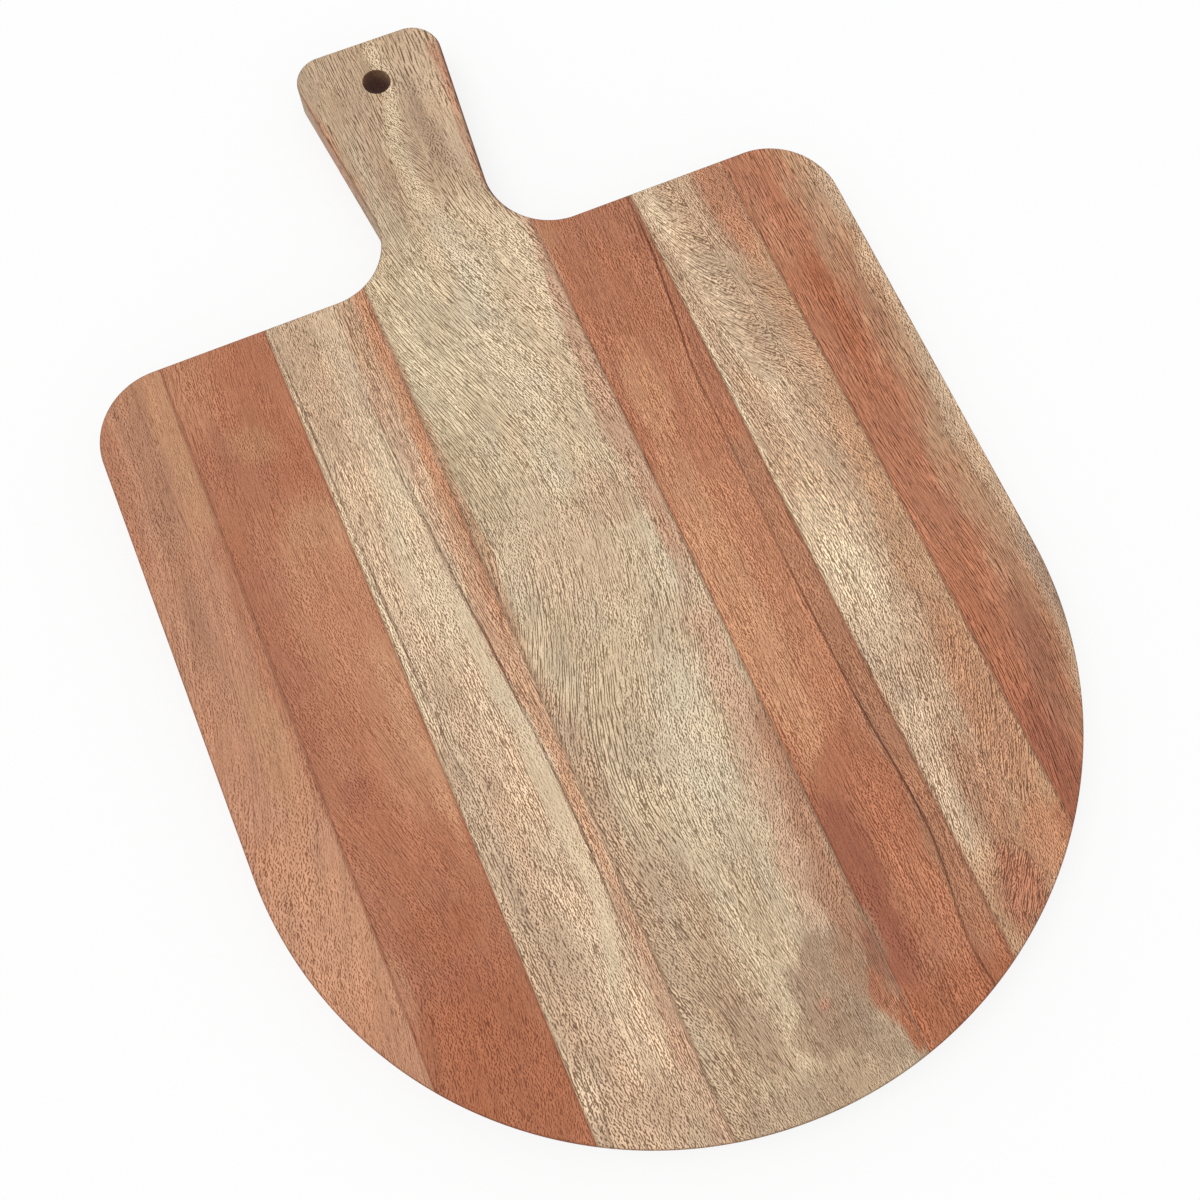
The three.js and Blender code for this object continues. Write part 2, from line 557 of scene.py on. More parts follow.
@dataclass(frozen=True)
class PaddleOutline:
    """Plan of the board in millimetres: half-elliptic end, straight sides, rounded shoulders, flared handle.

    Attributes:
        half_width: half the width of the body.
        thickness: thickness of the board.
        side_start: Y at which the straight sides start.
        round_depth: depth of the half-elliptic end.
        side_length: length of the straight sides.
        shoulder_radius: radius of the shoulders.
        handle_length: from the shoulder line to the tip.
        root_half: half the handle's width at the shoulder line.
        tip_half: half the handle's width at the tip.
        fillet_radius: radius of the hollows between shoulder and handle.
        tip_radius: radius of the tip's corners.
        ease: radius of the rounded edges.
        step: spacing of the traced points.
    """

    half_width: float = 150.0
    thickness: float = 15.0
    side_start: float = -75.0
    round_depth: float = 145.0
    side_length: float = 161.0
    shoulder_radius: float = 28.0
    handle_length: float = 106.0
    root_half: float = 20.25
    tip_half: float = 31.5
    fillet_radius: float = 26.0
    tip_radius: float = 12.0
    ease: float = 1.2
    step: float = 0.1

    @property
    def shoulder_y(self) -> float:
        """Y of the shoulder line."""
        return self.side_start + self.side_length + self.shoulder_radius

    @property
    def tip_y(self) -> float:
        """Y of the handle's tip."""
        return self.shoulder_y + self.handle_length

    def handle_edge(self, y: Array) -> Array:
        """Half the handle's width: the flared side, and below it the hollow's circle.

        Args:
            y: places along the board.

        Returns:
            Half the width at each place.
        """
        slope = (self.tip_half - self.root_half) / self.handle_length
        reach = self.fillet_radius
        drop = np.clip(self.shoulder_y + reach - y, 0.0, reach)
        hollow = self.root_half + slope * reach + reach * math.hypot(1.0, slope) - np.sqrt(reach**2 - drop**2)
        return np.where(drop > 0.0, hollow, self.root_half + slope * (y - self.shoulder_y))

    def _arc(self, centre: Row, radii: Row, start: float, stop: float, hollow: bool = False) -> Array:
        """Points and outward normals of an ellipse's arc: centre plus radii times cosine and sine.

        Args:
            centre: middle of the ellipse.
            radii: its radii along X and Y.
            start: angle at which the arc starts.
            stop: angle at which it stops.
            hollow: whether the wood is outside the arc.

        Returns:
            Rows of X, Y and outward normal.
        """
        count = int(abs(stop - start) * max(radii) / self.step) + 2
        angle = np.linspace(start, stop, count)
        ring = np.stack((np.cos(angle), np.sin(angle)), axis=1)
        normal = ring / np.array(radii)
        normal /= np.linalg.norm(normal, axis=1, keepdims=True)
        return np.hstack((np.array(centre) + ring * np.array(radii), -normal if hollow else normal))

    def _line(self, start: Row, stop: Row) -> Array:
        """Points and outward normals of a straight piece, whose inside is on its left.

        Args:
            start: where it starts.
            stop: where it stops.

        Returns:
            Rows of X, Y and outward normal.
        """
        run = np.array(stop, float) - np.array(start, float)
        length = float(np.hypot(*run))
        share = np.linspace(0.0, 1.0, int(length / self.step) + 2)[:, None]
        normal = np.broadcast_to(np.array((run[1], -run[0])) / length, (len(share), 2))
        return np.hstack((np.array(start) + share * run, normal))

    def trace(self) -> "OutlineTrace":
        """Trace the outline once around, from the lower end of the left side.

        Returns:
            The traced outline with its runs.
        """
        flare = math.atan2(self.tip_half - self.root_half, self.handle_length)
        free_y = self.shoulder_y + self.fillet_radius
        fillet_x = self.root_half + self.fillet_radius * math.tan(flare) + self.fillet_radius / math.cos(flare)
        tip_cy = self.tip_y - self.tip_radius
        tip_cx = self.root_half + (tip_cy - self.shoulder_y) * math.tan(flare) - self.tip_radius / math.cos(flare)
        shoulder_x = self.half_width - self.shoulder_radius
        shoulder_cy = self.side_start + self.side_length
        quarter = math.pi / 2
        radii = (self.half_width, self.round_depth)
        end = self._arc((0.0, self.side_start), radii, -quarter, 0.0)
        side = self._line((self.half_width, self.side_start), (self.half_width, shoulder_cy))
        round_shoulder = (self.shoulder_radius, self.shoulder_radius)
        shoulder = self._arc((shoulder_x, shoulder_cy), round_shoulder, 0.0, quarter)
        top = self._line((shoulder_x, self.shoulder_y), (fillet_x, self.shoulder_y))
        hollow = (self.fillet_radius, self.fillet_radius)
        fillet = self._arc((fillet_x, free_y), hollow, -quarter, -2 * quarter - flare, hollow=True)
        corner = self._arc((tip_cx, tip_cy), (self.tip_radius, self.tip_radius), -flare, quarter)
        edge = self._line(tuple(fillet[-1, :2]), tuple(corner[0, :2]))
        tip = self._line((tip_cx, self.tip_y), (0.0, self.tip_y))
        right = np.vstack((side, shoulder, top, fillet, edge, corner, tip))
        mirror = np.array((-1.0, 1.0, -1.0, 1.0))
        loop = np.vstack(((end * mirror)[::-1], end, right, (right * mirror)[::-1]))
        low = 2 * len(end)
        top_start = low + len(side)
        top_stop = top_start + len(shoulder) + len(top) + len(fillet) // 2 + len(fillet) // 4
        tip_right = low + len(right) - len(tip)
        length = len(loop)
        return OutlineTrace(
            sizes=self,
            loop=loop,
            low=slice(0, low),
            right_top=slice(top_start, top_stop),
            left_top=slice(length - (top_stop - low), length - (top_start - low)),
            tip_right=tip_right,
            tip_left=length - 1 - (tip_right - low),
        )


@dataclass
class OutlineTrace:
    """The traced outline, and the runs of it on which a glue line can end.

    Attributes:
        sizes: the outline's sizes.
        loop: rows of X, Y and outward normal, once around.
        low: run of the rounded end, from left to right.
        right_top: run of the right shoulder and fillet, from right to left.
        left_top: run of the left fillet and shoulder, from right to left.
        tip_right: row at the right end of the straight tip.
        tip_left: row at the left end of the straight tip.
    """

    sizes: PaddleOutline
    loop: Array
    low: slice
    right_top: slice
    left_top: slice
    tip_right: int
    tip_left: int

    def levels(self, round_steps: int = 5, wall_steps: int = 3) -> tuple[Array, Array]:
        """Inset and height of the rim's profile from the face down: a quarter round, the wall, a quarter round.

        Args:
            round_steps: steps of each quarter round.
            wall_steps: steps of the wall.

        Returns:
            Inset from the outline and height, one number for each level.
        """
        ease, thick = self.sizes.ease, self.sizes.thickness
        angle = np.linspace(0.0, math.pi / 2, round_steps + 1)
        inset = ease * (1.0 - np.sin(angle))
        drop = ease * (1.0 - np.cos(angle))
        wall = np.linspace(thick - ease, ease, wall_steps + 1)[1:-1]
        height = np.concatenate((thick - drop, wall, drop[::-1]))
        return np.concatenate((inset, np.zeros(len(wall)), inset[::-1])), height

    def crossing(self, run: slice, x: Array, inset: Array) -> Array:
        """Row of the loop at which the outline, set in, meets each X: the run's rows looked up by their X.

        Args:
            run: part of the loop, along which X only rises or only falls.
            x: places across the board.
            inset: how far the outline is set in, one number for each level.

        Returns:
            Rows as broken numbers, levels by places.
        """
        rows = np.arange(run.start, run.stop, dtype=float)
        part = self.loop[run]
        found = []
        for level in inset:
            across = part[:, 0] - level * part[:, 2]
            order = slice(None) if across[-1] > across[0] else slice(None, None, -1)
            found.append(np.interp(x, across[order], rows[order]))
        return np.array(found)

    def rim(self, rows: Array, inset: Array, height: Array) -> Array:
        """Points of the rim: the outline at each row less inset times its normal, at the level's height.

        Args:
            rows: rows of the loop as broken numbers, levels by places.
            inset: how far each level is set in.
            height: height of each level.

        Returns:
            Levels by places of points in millimetres.
        """
        index = np.arange(len(self.loop), dtype=float)
        x, y, nx, ny = (np.interp(rows, index, self.loop[:, c]) for c in range(4))
        z = np.broadcast_to(height[:, None], rows.shape)
        return np.stack((x - inset[:, None] * nx, y - inset[:, None] * ny, z), axis=2)


@dataclass
class BlockSketch:
    """Grids of points that together close one block of wood."""

    points: list[Array] = field(default_factory=list)
    quads: list[npt.NDArray[np.int64]] = field(default_factory=list)
    count: int = 0

    def grid(self, points: Array, skip: tuple[slice, slice] | None = None, around: bool = False) -> None:
        """Add a grid of points with its four-cornered faces.

        Args:
            points: rows by columns of places in millimetres.
            skip: block of faces to leave out.
            around: whether the last column joins the first.
        """
        rows, columns = points.shape[:2]
        index = np.arange(rows * columns).reshape(rows, columns) + self.count
        beside = np.roll(index, -1, axis=1) if around else index[:, 1:]
        here = index if around else index[:, :-1]
        faces = np.stack((here[:-1], beside[:-1], beside[1:], here[1:]), axis=2)
        keep = np.ones(faces.shape[:2], bool)
        if skip is not None:
            keep[skip] = False
        self.points.append(points.reshape(-1, 3))
        self.quads.append(faces[keep])
        self.count += rows * columns

    def mesh(self, name: str) -> bpy.types.Mesh:
        """Write the grids to one mesh in metres, with its doubles merged and its faces turned outwards.

        Args:
            name: name of the mesh.

        Returns:
            The closed mesh.
        """
        mesh = bpy.data.meshes.new(name)
        mesh.from_pydata((np.vstack(self.points) * MM).tolist(), [], np.vstack(self.quads).tolist())
        shell = bmesh.new()
        shell.from_mesh(mesh)
        bmesh.ops.remove_doubles(shell, verts=shell.verts, dist=MERGE)
        bmesh.ops.dissolve_degenerate(shell, edges=shell.edges, dist=SLIVER)
        bmesh.ops.recalc_face_normals(shell, faces=shell.faces)
        shell.to_mesh(mesh)
        shell.free()
        mesh.shade_smooth()
        mesh.set_sharp_from_angle(angle=math.radians(CREASE_DEGREES))
        return mesh


def between(first: Array, second: Array, share: Array) -> Array:
    """Straight blend of two families of points: levels by shares by columns, (1 - share) first + share second."""
    weight = share[None, :, None, None]
    return first[:, None] * (1.0 - weight) + second[:, None] * weight


@dataclass(frozen=True)
class HangingHole:
    """The bore through the handle.

    Attributes:
        y: place along the board.
        radius: radius of the bore.
        ease: radius of the broken rim.
        margin: half width of the square of face that the rings around the hole fill.
        rings: rings between that square and the rim.
    """

    y: float = 200.0
    radius: float = 5.5
    ease: float = 0.4
    margin: float = 9.0
    rings: int = 8

    def cells(self, face: Array) -> tuple[slice, slice]:
        """Block of a face's cells that the rings replace.

        Args:
            face: rows by columns of the face's points.

        Returns:
            The block's rows and columns.
        """
        middle = face.shape[1] // 2
        rows = np.flatnonzero(np.abs(face[:, middle, 1] - self.y) < self.margin)
        columns = np.flatnonzero(np.abs(face[rows[len(rows) // 2], :, 0]) < self.margin)
        return slice(int(rows[0]), int(rows[-1])), slice(int(columns[0]), int(columns[-1]))

    def rings_around(self, face: Array, cells: tuple[slice, slice]) -> Array:
        """Rings from the block's border to the rim: straight blends along the rays from the bore's middle.

        Args:
            face: rows by columns of the face's points.
            cells: the block that the rings replace.

        Returns:
            Rings by columns of points in millimetres.
        """
        block = face[cells[0].start : cells[0].stop + 1, cells[1].start : cells[1].stop + 1]
        border = np.vstack((block[0, :-1], block[:-1, -1], block[-1, :0:-1], block[:0:-1, 0]))
        angle = np.arctan2(border[:, 1] - self.y, border[:, 0])
        reach = self.radius + self.ease
        rim = np.stack((reach * np.cos(angle), self.y + reach * np.sin(angle), border[:, 2]), axis=1)
        share = np.linspace(0.0, 1.0, self.rings + 1)[:, None, None]
        return border * (1.0 - share) + rim * share

    def wall(self, angle: Array, thickness: float, round_levels: int = 4, wall_levels: int = 8) -> Array:
        """The bore: a circle carried down a profile of a quarter round, the wall and a quarter round.

        Args:
            angle: directions of the wall's columns.
            thickness: thickness of the board.
            round_levels: levels of each quarter round.
            wall_levels: levels of the wall, with its two ends.

        Returns:
            Levels by columns of places in millimetres.
        """
        turn = np.linspace(0.0, math.pi / 2, round_levels)
        radius = self.radius + self.ease * (1.0 - np.sin(turn))
        drop = self.ease * (1.0 - np.cos(turn))
        inner = np.linspace(thickness - self.ease, self.ease, wall_levels)[1:-1]
        height = np.concatenate((thickness - drop, inner, drop[::-1]))
        reach = np.concatenate((radius, np.full(len(inner), self.radius), radius[::-1]))
        x, y = reach[:, None] * np.cos(angle), self.y + reach[:, None] * np.sin(angle)
        return np.stack((x, y, np.broadcast_to(height[:, None], x.shape)), axis=2)


class Place(Enum):
    """Where a strip lies in the panel."""

    LEFT_EDGE = "left edge"
    INSIDE = "inside"
    HANDLE = "handle"
    RIGHT_EDGE = "right edge"


@dataclass
class PanelStrip:
    """One strip of the panel between two planes along the grain, cut to the outline.

    Attributes:
        trace: the board's outline.
        place: where the strip lies.
        low_x: left plane.
        high_x: right plane.
        spacing: spacing of the mesh.
        rim_run: about how long the rim of an outer strip is.
        hole: the bore, where the strip has it.
    """

    trace: OutlineTrace
    place: Place
    low_x: float
    high_x: float
    spacing: float = 1.0
    rim_run: float = 330.0
    hole: HangingHole = field(default_factory=HangingHole)

    def sketch(self) -> BlockSketch:
        """Close the strip with grids, by the way of its place.

        Returns:
            The strip's grids.
        """
        makers = {
            Place.LEFT_EDGE: self._edge_strip,
            Place.RIGHT_EDGE: self._edge_strip,
            Place.INSIDE: self._inner_strip,
            Place.HANDLE: self._handle_strip,
        }
        return makers[self.place]()

    def _shares(self, length: float) -> Array:
        """Even shares of a length at the mesh's spacing."""
        return np.linspace(0.0, 1.0, max(2, int(round(length / self.spacing)) + 1))

    def _top_run(self, x: float) -> slice:
        """The shoulder run on the side of an X."""
        return self.trace.right_top if x > 0 else self.trace.left_top

    def _inner_strip(self) -> BlockSketch:
        """A strip with an end on the rounded end and one on the shoulder: columns at fixed X, blended along Y.

        Returns:
            The strip's grids.
        """
        inset, height = self.trace.levels()
        columns = self.low_x + (self.high_x - self.low_x) * self._shares(self.high_x - self.low_x)
        low = self.trace.rim(self.trace.crossing(self.trace.low, columns, inset), inset, height)
        top_run = self._top_run(self.low_x + self.high_x)
        high = self.trace.rim(self.trace.crossing(top_run, columns, inset), inset, height)
        block = between(low, high, self._shares(float(np.max(high[0, :, 1] - low[0, :, 1]))))
        sketch = BlockSketch()
        for side in (block[0], block[-1], block[:, 0], block[:, -1], block[:, :, 0], block[:, :, -1]):
            sketch.grid(side)
        return sketch

    def _edge_strip(self) -> BlockSketch:
        """A strip with one glue plane: blends across from that plane to the rim around the outside.

        Returns:
            The strip's grids.
        """
        inset, height = self.trace.levels()
        left = self.place is Place.LEFT_EDGE
        plane = np.array([self.high_x if left else self.low_x])
        start = self.trace.crossing(self.trace.low, plane, inset)
        stop = self.trace.crossing(self._top_run(float(plane[0])), plane, inset)
        last = len(self.trace.loop) - 1
        shares = self._shares(self.rim_run)
        if left:
            rows = np.mod(start + (stop - last - start) * shares, last)
        else:
            rows = start + (stop - start) * shares
        rim = self.trace.rim(rows, inset, height)
        ends = self.trace.rim(np.hstack((start, stop)), inset, height)
        joint = ends[:, :1] * (1.0 - shares[None, :, None]) + ends[:, 1:] * shares[None, :, None]
        block = between(joint, rim, self._shares(abs(self.high_x - self.low_x))).transpose(0, 2, 1, 3)
        sketch = BlockSketch()
        for side in (block[0], block[-1], block[:, :, 0], block[:, :, -1]):
            sketch.grid(side)
        return sketch

    def _handle_strip(self) -> BlockSketch:
        """The strip that runs on into the handle: a body below the hollows, and rows across the handle above it.

        Returns:
            The strip's grids.
        """
        trace = self.trace
        inset, height = trace.levels()
        shares = self._shares(self.high_x - self.low_x)
        columns = self.low_x + (self.high_x - self.low_x) * shares
        low = trace.rim(trace.crossing(trace.low, columns, inset), inset, height)
        left_row = trace.crossing(trace.left_top, np.array([self.low_x]), inset)
        right_row = trace.crossing(trace.right_top, np.array([self.high_x]), inset)
        up = self._shares(trace.sizes.handle_length)
        left = trace.rim(left_row + (trace.tip_left - left_row) * up, inset, height)
        right = trace.rim(right_row + (trace.tip_right - right_row) * up, inset, height)
        handle = between(left, right, shares).transpose(0, 2, 1, 3)
        neck = handle[:, 0]
        body = between(low, neck, self._shares(float(np.max(neck[0, :, 1] - low[0, :, 1]))))
        sketch = BlockSketch()
        for side in (body[0], body[-1], body[:, 0], body[:, :, 0], body[:, :, -1]):
            sketch.grid(side)
        for side in (handle[:, -1], handle[:, :, 0], handle[:, :, -1]):
            sketch.grid(side)
        cells = self.hole.cells(handle[0])
        for face in (handle[0], handle[-1]):
            sketch.grid(face, skip=cells)
            sketch.grid(self.hole.rings_around(face, cells), around=True)
        rings = self.hole.rings_around(handle[0], cells)[-1]
        angle = np.arctan2(rings[:, 1] - self.hole.y, rings[:, 0])
        sketch.grid(self.hole.wall(angle, trace.sizes.thickness), around=True)
        return sketch


class Cells(Enum):
    """Width, and length along the fibres, of the cells of each pattern in the wood, in millimetres."""

    TORN = (2.2, 9.0)
    WOBBLE = (7.0, 26.0)
    FIBRE = (0.9, 34.0)
    BAND = (3.2, 75.0)
    PATCH = (8.0, 22.0)
    GRIT = (0.36, 0.7)
    PORE = (0.72, 4.2)
    LINE = (0.33, 6.5)
    FLECK = (0.34, 1.0)


class NodeBench:
    """Lays the nodes of one material or sky and links them."""

    def __init__(self, owner: bpy.types.Material | bpy.types.World) -> None:
        """Start with none of the owner's nodes.

        Args:
            owner: the material or sky.
        """
        owner.use_nodes = True
        self.tree = owner.node_tree
        self.tree.nodes.clear()

    def add(self, kind: str, inputs: dict[int | str, object] | None = None, **settings: object) -> bpy.types.Node:
        """Add a node.

        Args:
            kind: the node's type, without its usual first words.
            inputs: sockets to link or values to set, by the input's name or number.
            settings: properties of the node.

        Returns:
            The new node.
        """
        node = self.tree.nodes.new("ShaderNode" + kind)
        for name, value in settings.items():
            setattr(node, name, value)
        for key, value in (inputs or {}).items():
            if isinstance(value, Socket):
                self.tree.links.new(value, node.inputs[key])
            else:
                node.inputs[key].default_value = value
        return node

    def attribute(self, name: str, output: str = "Vector") -> Socket:
        """An attribute of the piece."""
        return self.add("Attribute", attribute_name=name).outputs[output]

    def columns(self, name: str) -> Sockets:
        """The three numbers of an attribute of the piece."""
        return self.add("SeparateXYZ", {0: self.attribute(name)}).outputs

    def math(self, operation: str, first: object, second: object, clamp: bool = False) -> Socket:
        """One sum of two numbers."""
        return self.add("Math", {0: first, 1: second}, operation=operation, use_clamp=clamp).outputs[0]

    def times(self, first: object, second: object) -> Socket:
        """The product of two numbers."""
        return self.math("MULTIPLY", first, second)

    def vector(self, operation: str, first: object, second: object) -> Socket:
        """One sum of two vectors, or of a vector and the number that scales it."""
        key = "Scale" if operation == "SCALE" else 1
        return self.add("VectorMath", {0: first, key: second}, operation=operation).outputs[0]

    def swing(self, noise: Socket, strength: float) -> Socket:
        """Noise less its mean of a half, times a strength."""
        return self.times(self.math("SUBTRACT", noise, 0.5), strength)

    def ramp(self, value: object, low: float, high: float, start: float = 0.0, stop: float = 1.0) -> Socket:
        """Ease a number from one range to another."""
        inputs = {"Value": value, 1: low, 2: high, 3: start, 4: stop}
        return self.add("MapRange", inputs, interpolation_type="SMOOTHSTEP").outputs["Result"]

    def stretched(self, place: Socket, cells: Cells) -> Socket:
        """Places along the fibres, counted in cells."""
        across, length = cells.value
        return self.vector("MULTIPLY", place, (1.0 / across, 1.0 / length, 1.0 / across))

    def noise(self, place: Socket, cells: Cells, detail: float = 1.0) -> Sockets:
        """Noise in cells of a given size, as a number and as a colour."""
        inputs = {"Vector": self.stretched(place, cells), "Scale": 1.0, "Detail": detail, "Roughness": 0.5}
        return self.add("TexNoise", inputs).outputs

    def marks(self, place: Socket, cells: Cells, shift: float = 1.1, full: float = 0.27) -> Socket:
        """Close thin marks along the fibres: the high places of noise less the same noise a cell to the side.

        Args:
            place: places along the fibres.
            cells: size of the noise's cells.
            shift: how far to the side the second noise is taken, in cells.
            full: difference at which a mark is full.

        Returns:
            Strength of the marks.
        """
        beside = self.vector("ADD", place, (shift * cells.value[0], 0.0, 0.0))
        here, there = (self.noise(at, cells, 0.0)["Fac"] for at in (place, beside))
        return self.ramp(self.math("SUBTRACT", here, there), 0.0, full)

    def dashes(
        self, place: Socket, cells: Cells, inner: float, outer: float, share: float, ease: float = 0.2
    ) -> Socket:
        """Dashes along the fibres: the cores of scattered cells, kept where the cell's own number is high enough.

        Args:
            place: places along the fibres.
            cells: size of the cells.
            inner: distance from the core, in cells, up to which a dash is full.
            outer: distance at which it has gone.
            share: share of the cells that have a dash.
            ease: part of that share over which the dashes grow to full strength.

        Returns:
            Strength of the dashes.
        """
        inputs = {"Vector": self.stretched(place, cells), "Scale": 1.0, "Randomness": 1.0}
        cell = self.add("TexVoronoi", inputs, feature="F1")
        core = self.ramp(cell.outputs["Distance"], inner, outer, 1.0, 0.0)
        number = self.add("SeparateColor", {0: cell.outputs["Color"]}).outputs[0]
        return self.times(core, self.ramp(number, 1.0 - share, 1.0 - share + ease))

    def tint(self, colour: Socket, fac: object, tint: Row) -> Socket:
        """Multiply a colour by a tint where the factor says."""
        node = self.add("Mix", {0: fac, 6: colour, 7: (*tint, 1.0)}, data_type="RGBA", blend_type="MULTIPLY")
        return node.outputs[2]


@dataclass(frozen=True)
class WoodFinish:
    """Sanded and oiled open-pored wood.

    Attributes:
        thread: contrast of the fine lines and flecks.
        fibre: contrast of the fibres.
        band: contrast of the growth bands.
        pore_tint: what the pores do to the wood's colour.
        grit: contrast of the grit between the marks.
        torn: how ragged the borders of the leaning places are.
        wobble: how far the fibres wander, in millimetres.
        darkest: least lightness that the fibres, bands and grit leave.
        vein_tint: what the thin dark lines do to the wood's colour.
        vein_core: half width over which a thin dark line is full, in millimetres.
        vein_edge: half width at which it has gone, in millimetres.
        roughness: roughness of the oiled face.
        gloss_drift: how far the fibres move that roughness each way.
        specular: strength of the gloss.
        relief: depth of the pores and fibres in millimetres.
        relief_share: how far that depth shows.
    """

    thread: float
    fibre: float
    band: float
    pore_tint: Row
    grit: float = 0.35
    torn: float = 1.6
    wobble: float = 1.6
    darkest: float = 0.2
    vein_tint: Row = (0.34, 0.27, 0.24)
    vein_core: float = 0.12
    vein_edge: float = 0.75
    roughness: float = 0.56
    gloss_drift: float = 0.06
    specular: float = 0.25
    relief: float = 0.04
    relief_share: float = 0.35

    def material(self, name: str) -> bpy.types.Material:
        """Make the material: tone times fibres and bands, darkened by pores, veins, end grain, painted shade on the
        rims, and painted shade in the bore and along the handle's right edge.

        Args:
            name: name of the material.

        Returns:
            The material.
        """
        wood = bpy.data.materials.new(name)
        bench = NodeBench(wood)
        weights, shade_endgrain_lean = bench.columns("marks"), bench.columns("shade_endgrain_lean")
        grain, place = self._places(bench, shade_endgrain_lean[2])
        fibre = bench.noise(place, Cells.FIBRE)["Fac"]
        patches = bench.add("SeparateColor", {0: bench.noise(grain, Cells.PATCH)["Color"]}).outputs
        lined = bench.times(weights[2], bench.ramp(patches[0], 0.3, 0.7, start=0.4, stop=1.6))
        flecked = bench.times(weights[1], bench.ramp(patches[1], 0.3, 0.7, start=0.5, stop=1.5))
        colour = self._tone(bench, grain, place, fibre, bench.math("ADD", lined, flecked))

        pores = bench.times(bench.dashes(place, Cells.PORE, inner=0.14, outer=0.44, share=0.45), weights[0])
        lines = bench.times(bench.marks(place, Cells.LINE), lined)
        flecks = bench.times(bench.marks(place, Cells.FLECK), flecked)
        fine = bench.times(bench.math("ADD", lines, flecks), self.thread)
        dark = bench.math("ADD", fine, pores, clamp=True)
        # The last two tints are real end grain darkening with painted shade on the rims, and painted shade in the
        # bore and along the handle's right edge.
        for fac, tint in (
            (dark, self.pore_tint), (self._veins(bench, fibre), self.vein_tint),
            (shade_endgrain_lean[1], END_GRAIN_AND_RIM_SHADE_TINT), (shade_endgrain_lean[0], PAINTED_SHADE_TINT),
        ):
            colour = bench.tint(colour, fac, tint)

        height = bench.math("SUBTRACT", 1.0, dark)
        depth = {"Strength": self.relief_share, "Distance": self.relief * MM, "Height": height}
        bump = bench.add("Bump", depth).outputs[0]
        gloss = bench.ramp(fibre, 0.25, 0.75, self.roughness + self.gloss_drift, self.roughness - self.gloss_drift)
        inputs = {"Base Color": colour, "Roughness": gloss, "Normal": bump, "Specular IOR Level": self.specular}
        bench.add("OutputMaterial", {"Surface": bench.add("BsdfPrincipled", inputs).outputs[0]})
        return wood

    def _places(self, bench: NodeBench, lean: Socket) -> tuple[Socket, Socket]:
        """Places along the fibres: straight, or leaning inside a torn border, and then with a slow wobble.

        Args:
            bench: where the nodes go.
            lean: cover of the leaning fibres.

        Returns:
            The places without the wobble and with it.
        """
        straight = bench.attribute("grain")
        torn = bench.swing(bench.noise(straight, Cells.TORN)["Fac"], self.torn)
        turned = bench.math("GREATER_THAN", bench.math("ADD", lean, torn), 0.5)
        chosen = {0: turned, 4: straight, 5: bench.attribute("leaning")}
        grain = bench.add("Mix", chosen, data_type="VECTOR").outputs[1]
        wobble = bench.vector("SUBTRACT", bench.noise(grain, Cells.WOBBLE)["Color"], (0.5, 0.5, 0.5))
        moved = bench.vector("MULTIPLY", wobble, (self.wobble, 0.0, self.wobble))
        return grain, bench.vector("ADD", grain, moved)

    def _tone(self, bench: NodeBench, grain: Socket, place: Socket, fibre: Socket, marked: Socket) -> Socket:
        """The tone, lifted by what the marks will darken, times one plus the fibres, the bands and the grit.

        Args:
            bench: where the nodes go.
            grain: places along the fibres.
            place: the same with a slow wobble.
            fibre: the noise of the fibres.
            marked: weight of the lines and flecks.

        Returns:
            The colour before any mark.
        """
        middle = bench.swing(fibre, self.fibre)
        broad = bench.swing(bench.noise(place, Cells.BAND, 2.0)["Fac"], self.band)
        grit = bench.swing(bench.noise(grain, Cells.GRIT, 0.0)["Fac"], self.grit)
        shade = bench.math("ADD", bench.math("ADD", grit, bench.math("ADD", middle, broad)), 1.0)
        lifts = tuple(MARK_COVER * self.thread * (1.0 - tint) for tint in self.pore_tint)
        lifted = {0: marked, 1: lifts, 2: (1.0, 1.0, 1.0)}
        lift = bench.add("VectorMath", lifted, operation="MULTIPLY_ADD").outputs[0]
        tone = bench.vector("MULTIPLY", bench.attribute("tone", "Color"), lift)
        return bench.vector("SCALE", tone, bench.math("MAXIMUM", shade, self.darkest))

    def _veins(self, bench: NodeBench, fibre: Socket) -> Socket:
        """Strength of the thin dark lines: full at the core, eased to nothing at the edge, broken by the fibres.

        Args:
            bench: where the nodes go.
            fibre: the noise of the fibres.

        Returns:
            The strength, up to one.
        """
        gap = bench.add("VectorMath", {0: bench.attribute("vein_gap")}, operation="ABSOLUTE").outputs[0]
        limits = {6: gap, 7: (self.vein_core,) * 3, 8: (self.vein_edge,) * 3, 9: (1.0,) * 3, 10: (0.0,) * 3}
        drawn = bench.add("MapRange", limits, data_type="FLOAT_VECTOR", interpolation_type="SMOOTHSTEP")
        weighed = {0: drawn.outputs["Vector"], 1: bench.attribute("vein_weight")}
        veins = bench.add("VectorMath", weighed, operation="DOT_PRODUCT").outputs["Value"]
        return bench.math("MULTIPLY", veins, bench.ramp(fibre, 0.25, 0.5, start=0.55, stop=1.0), clamp=True)


def steep(normals: Array, gain: float) -> Array:
    """How steep a surface is: nothing on a flat face, eased to one on a wall, the sooner the higher the gain."""
    return smooth((1.0 - np.abs(normals[:, 2])) * gain)


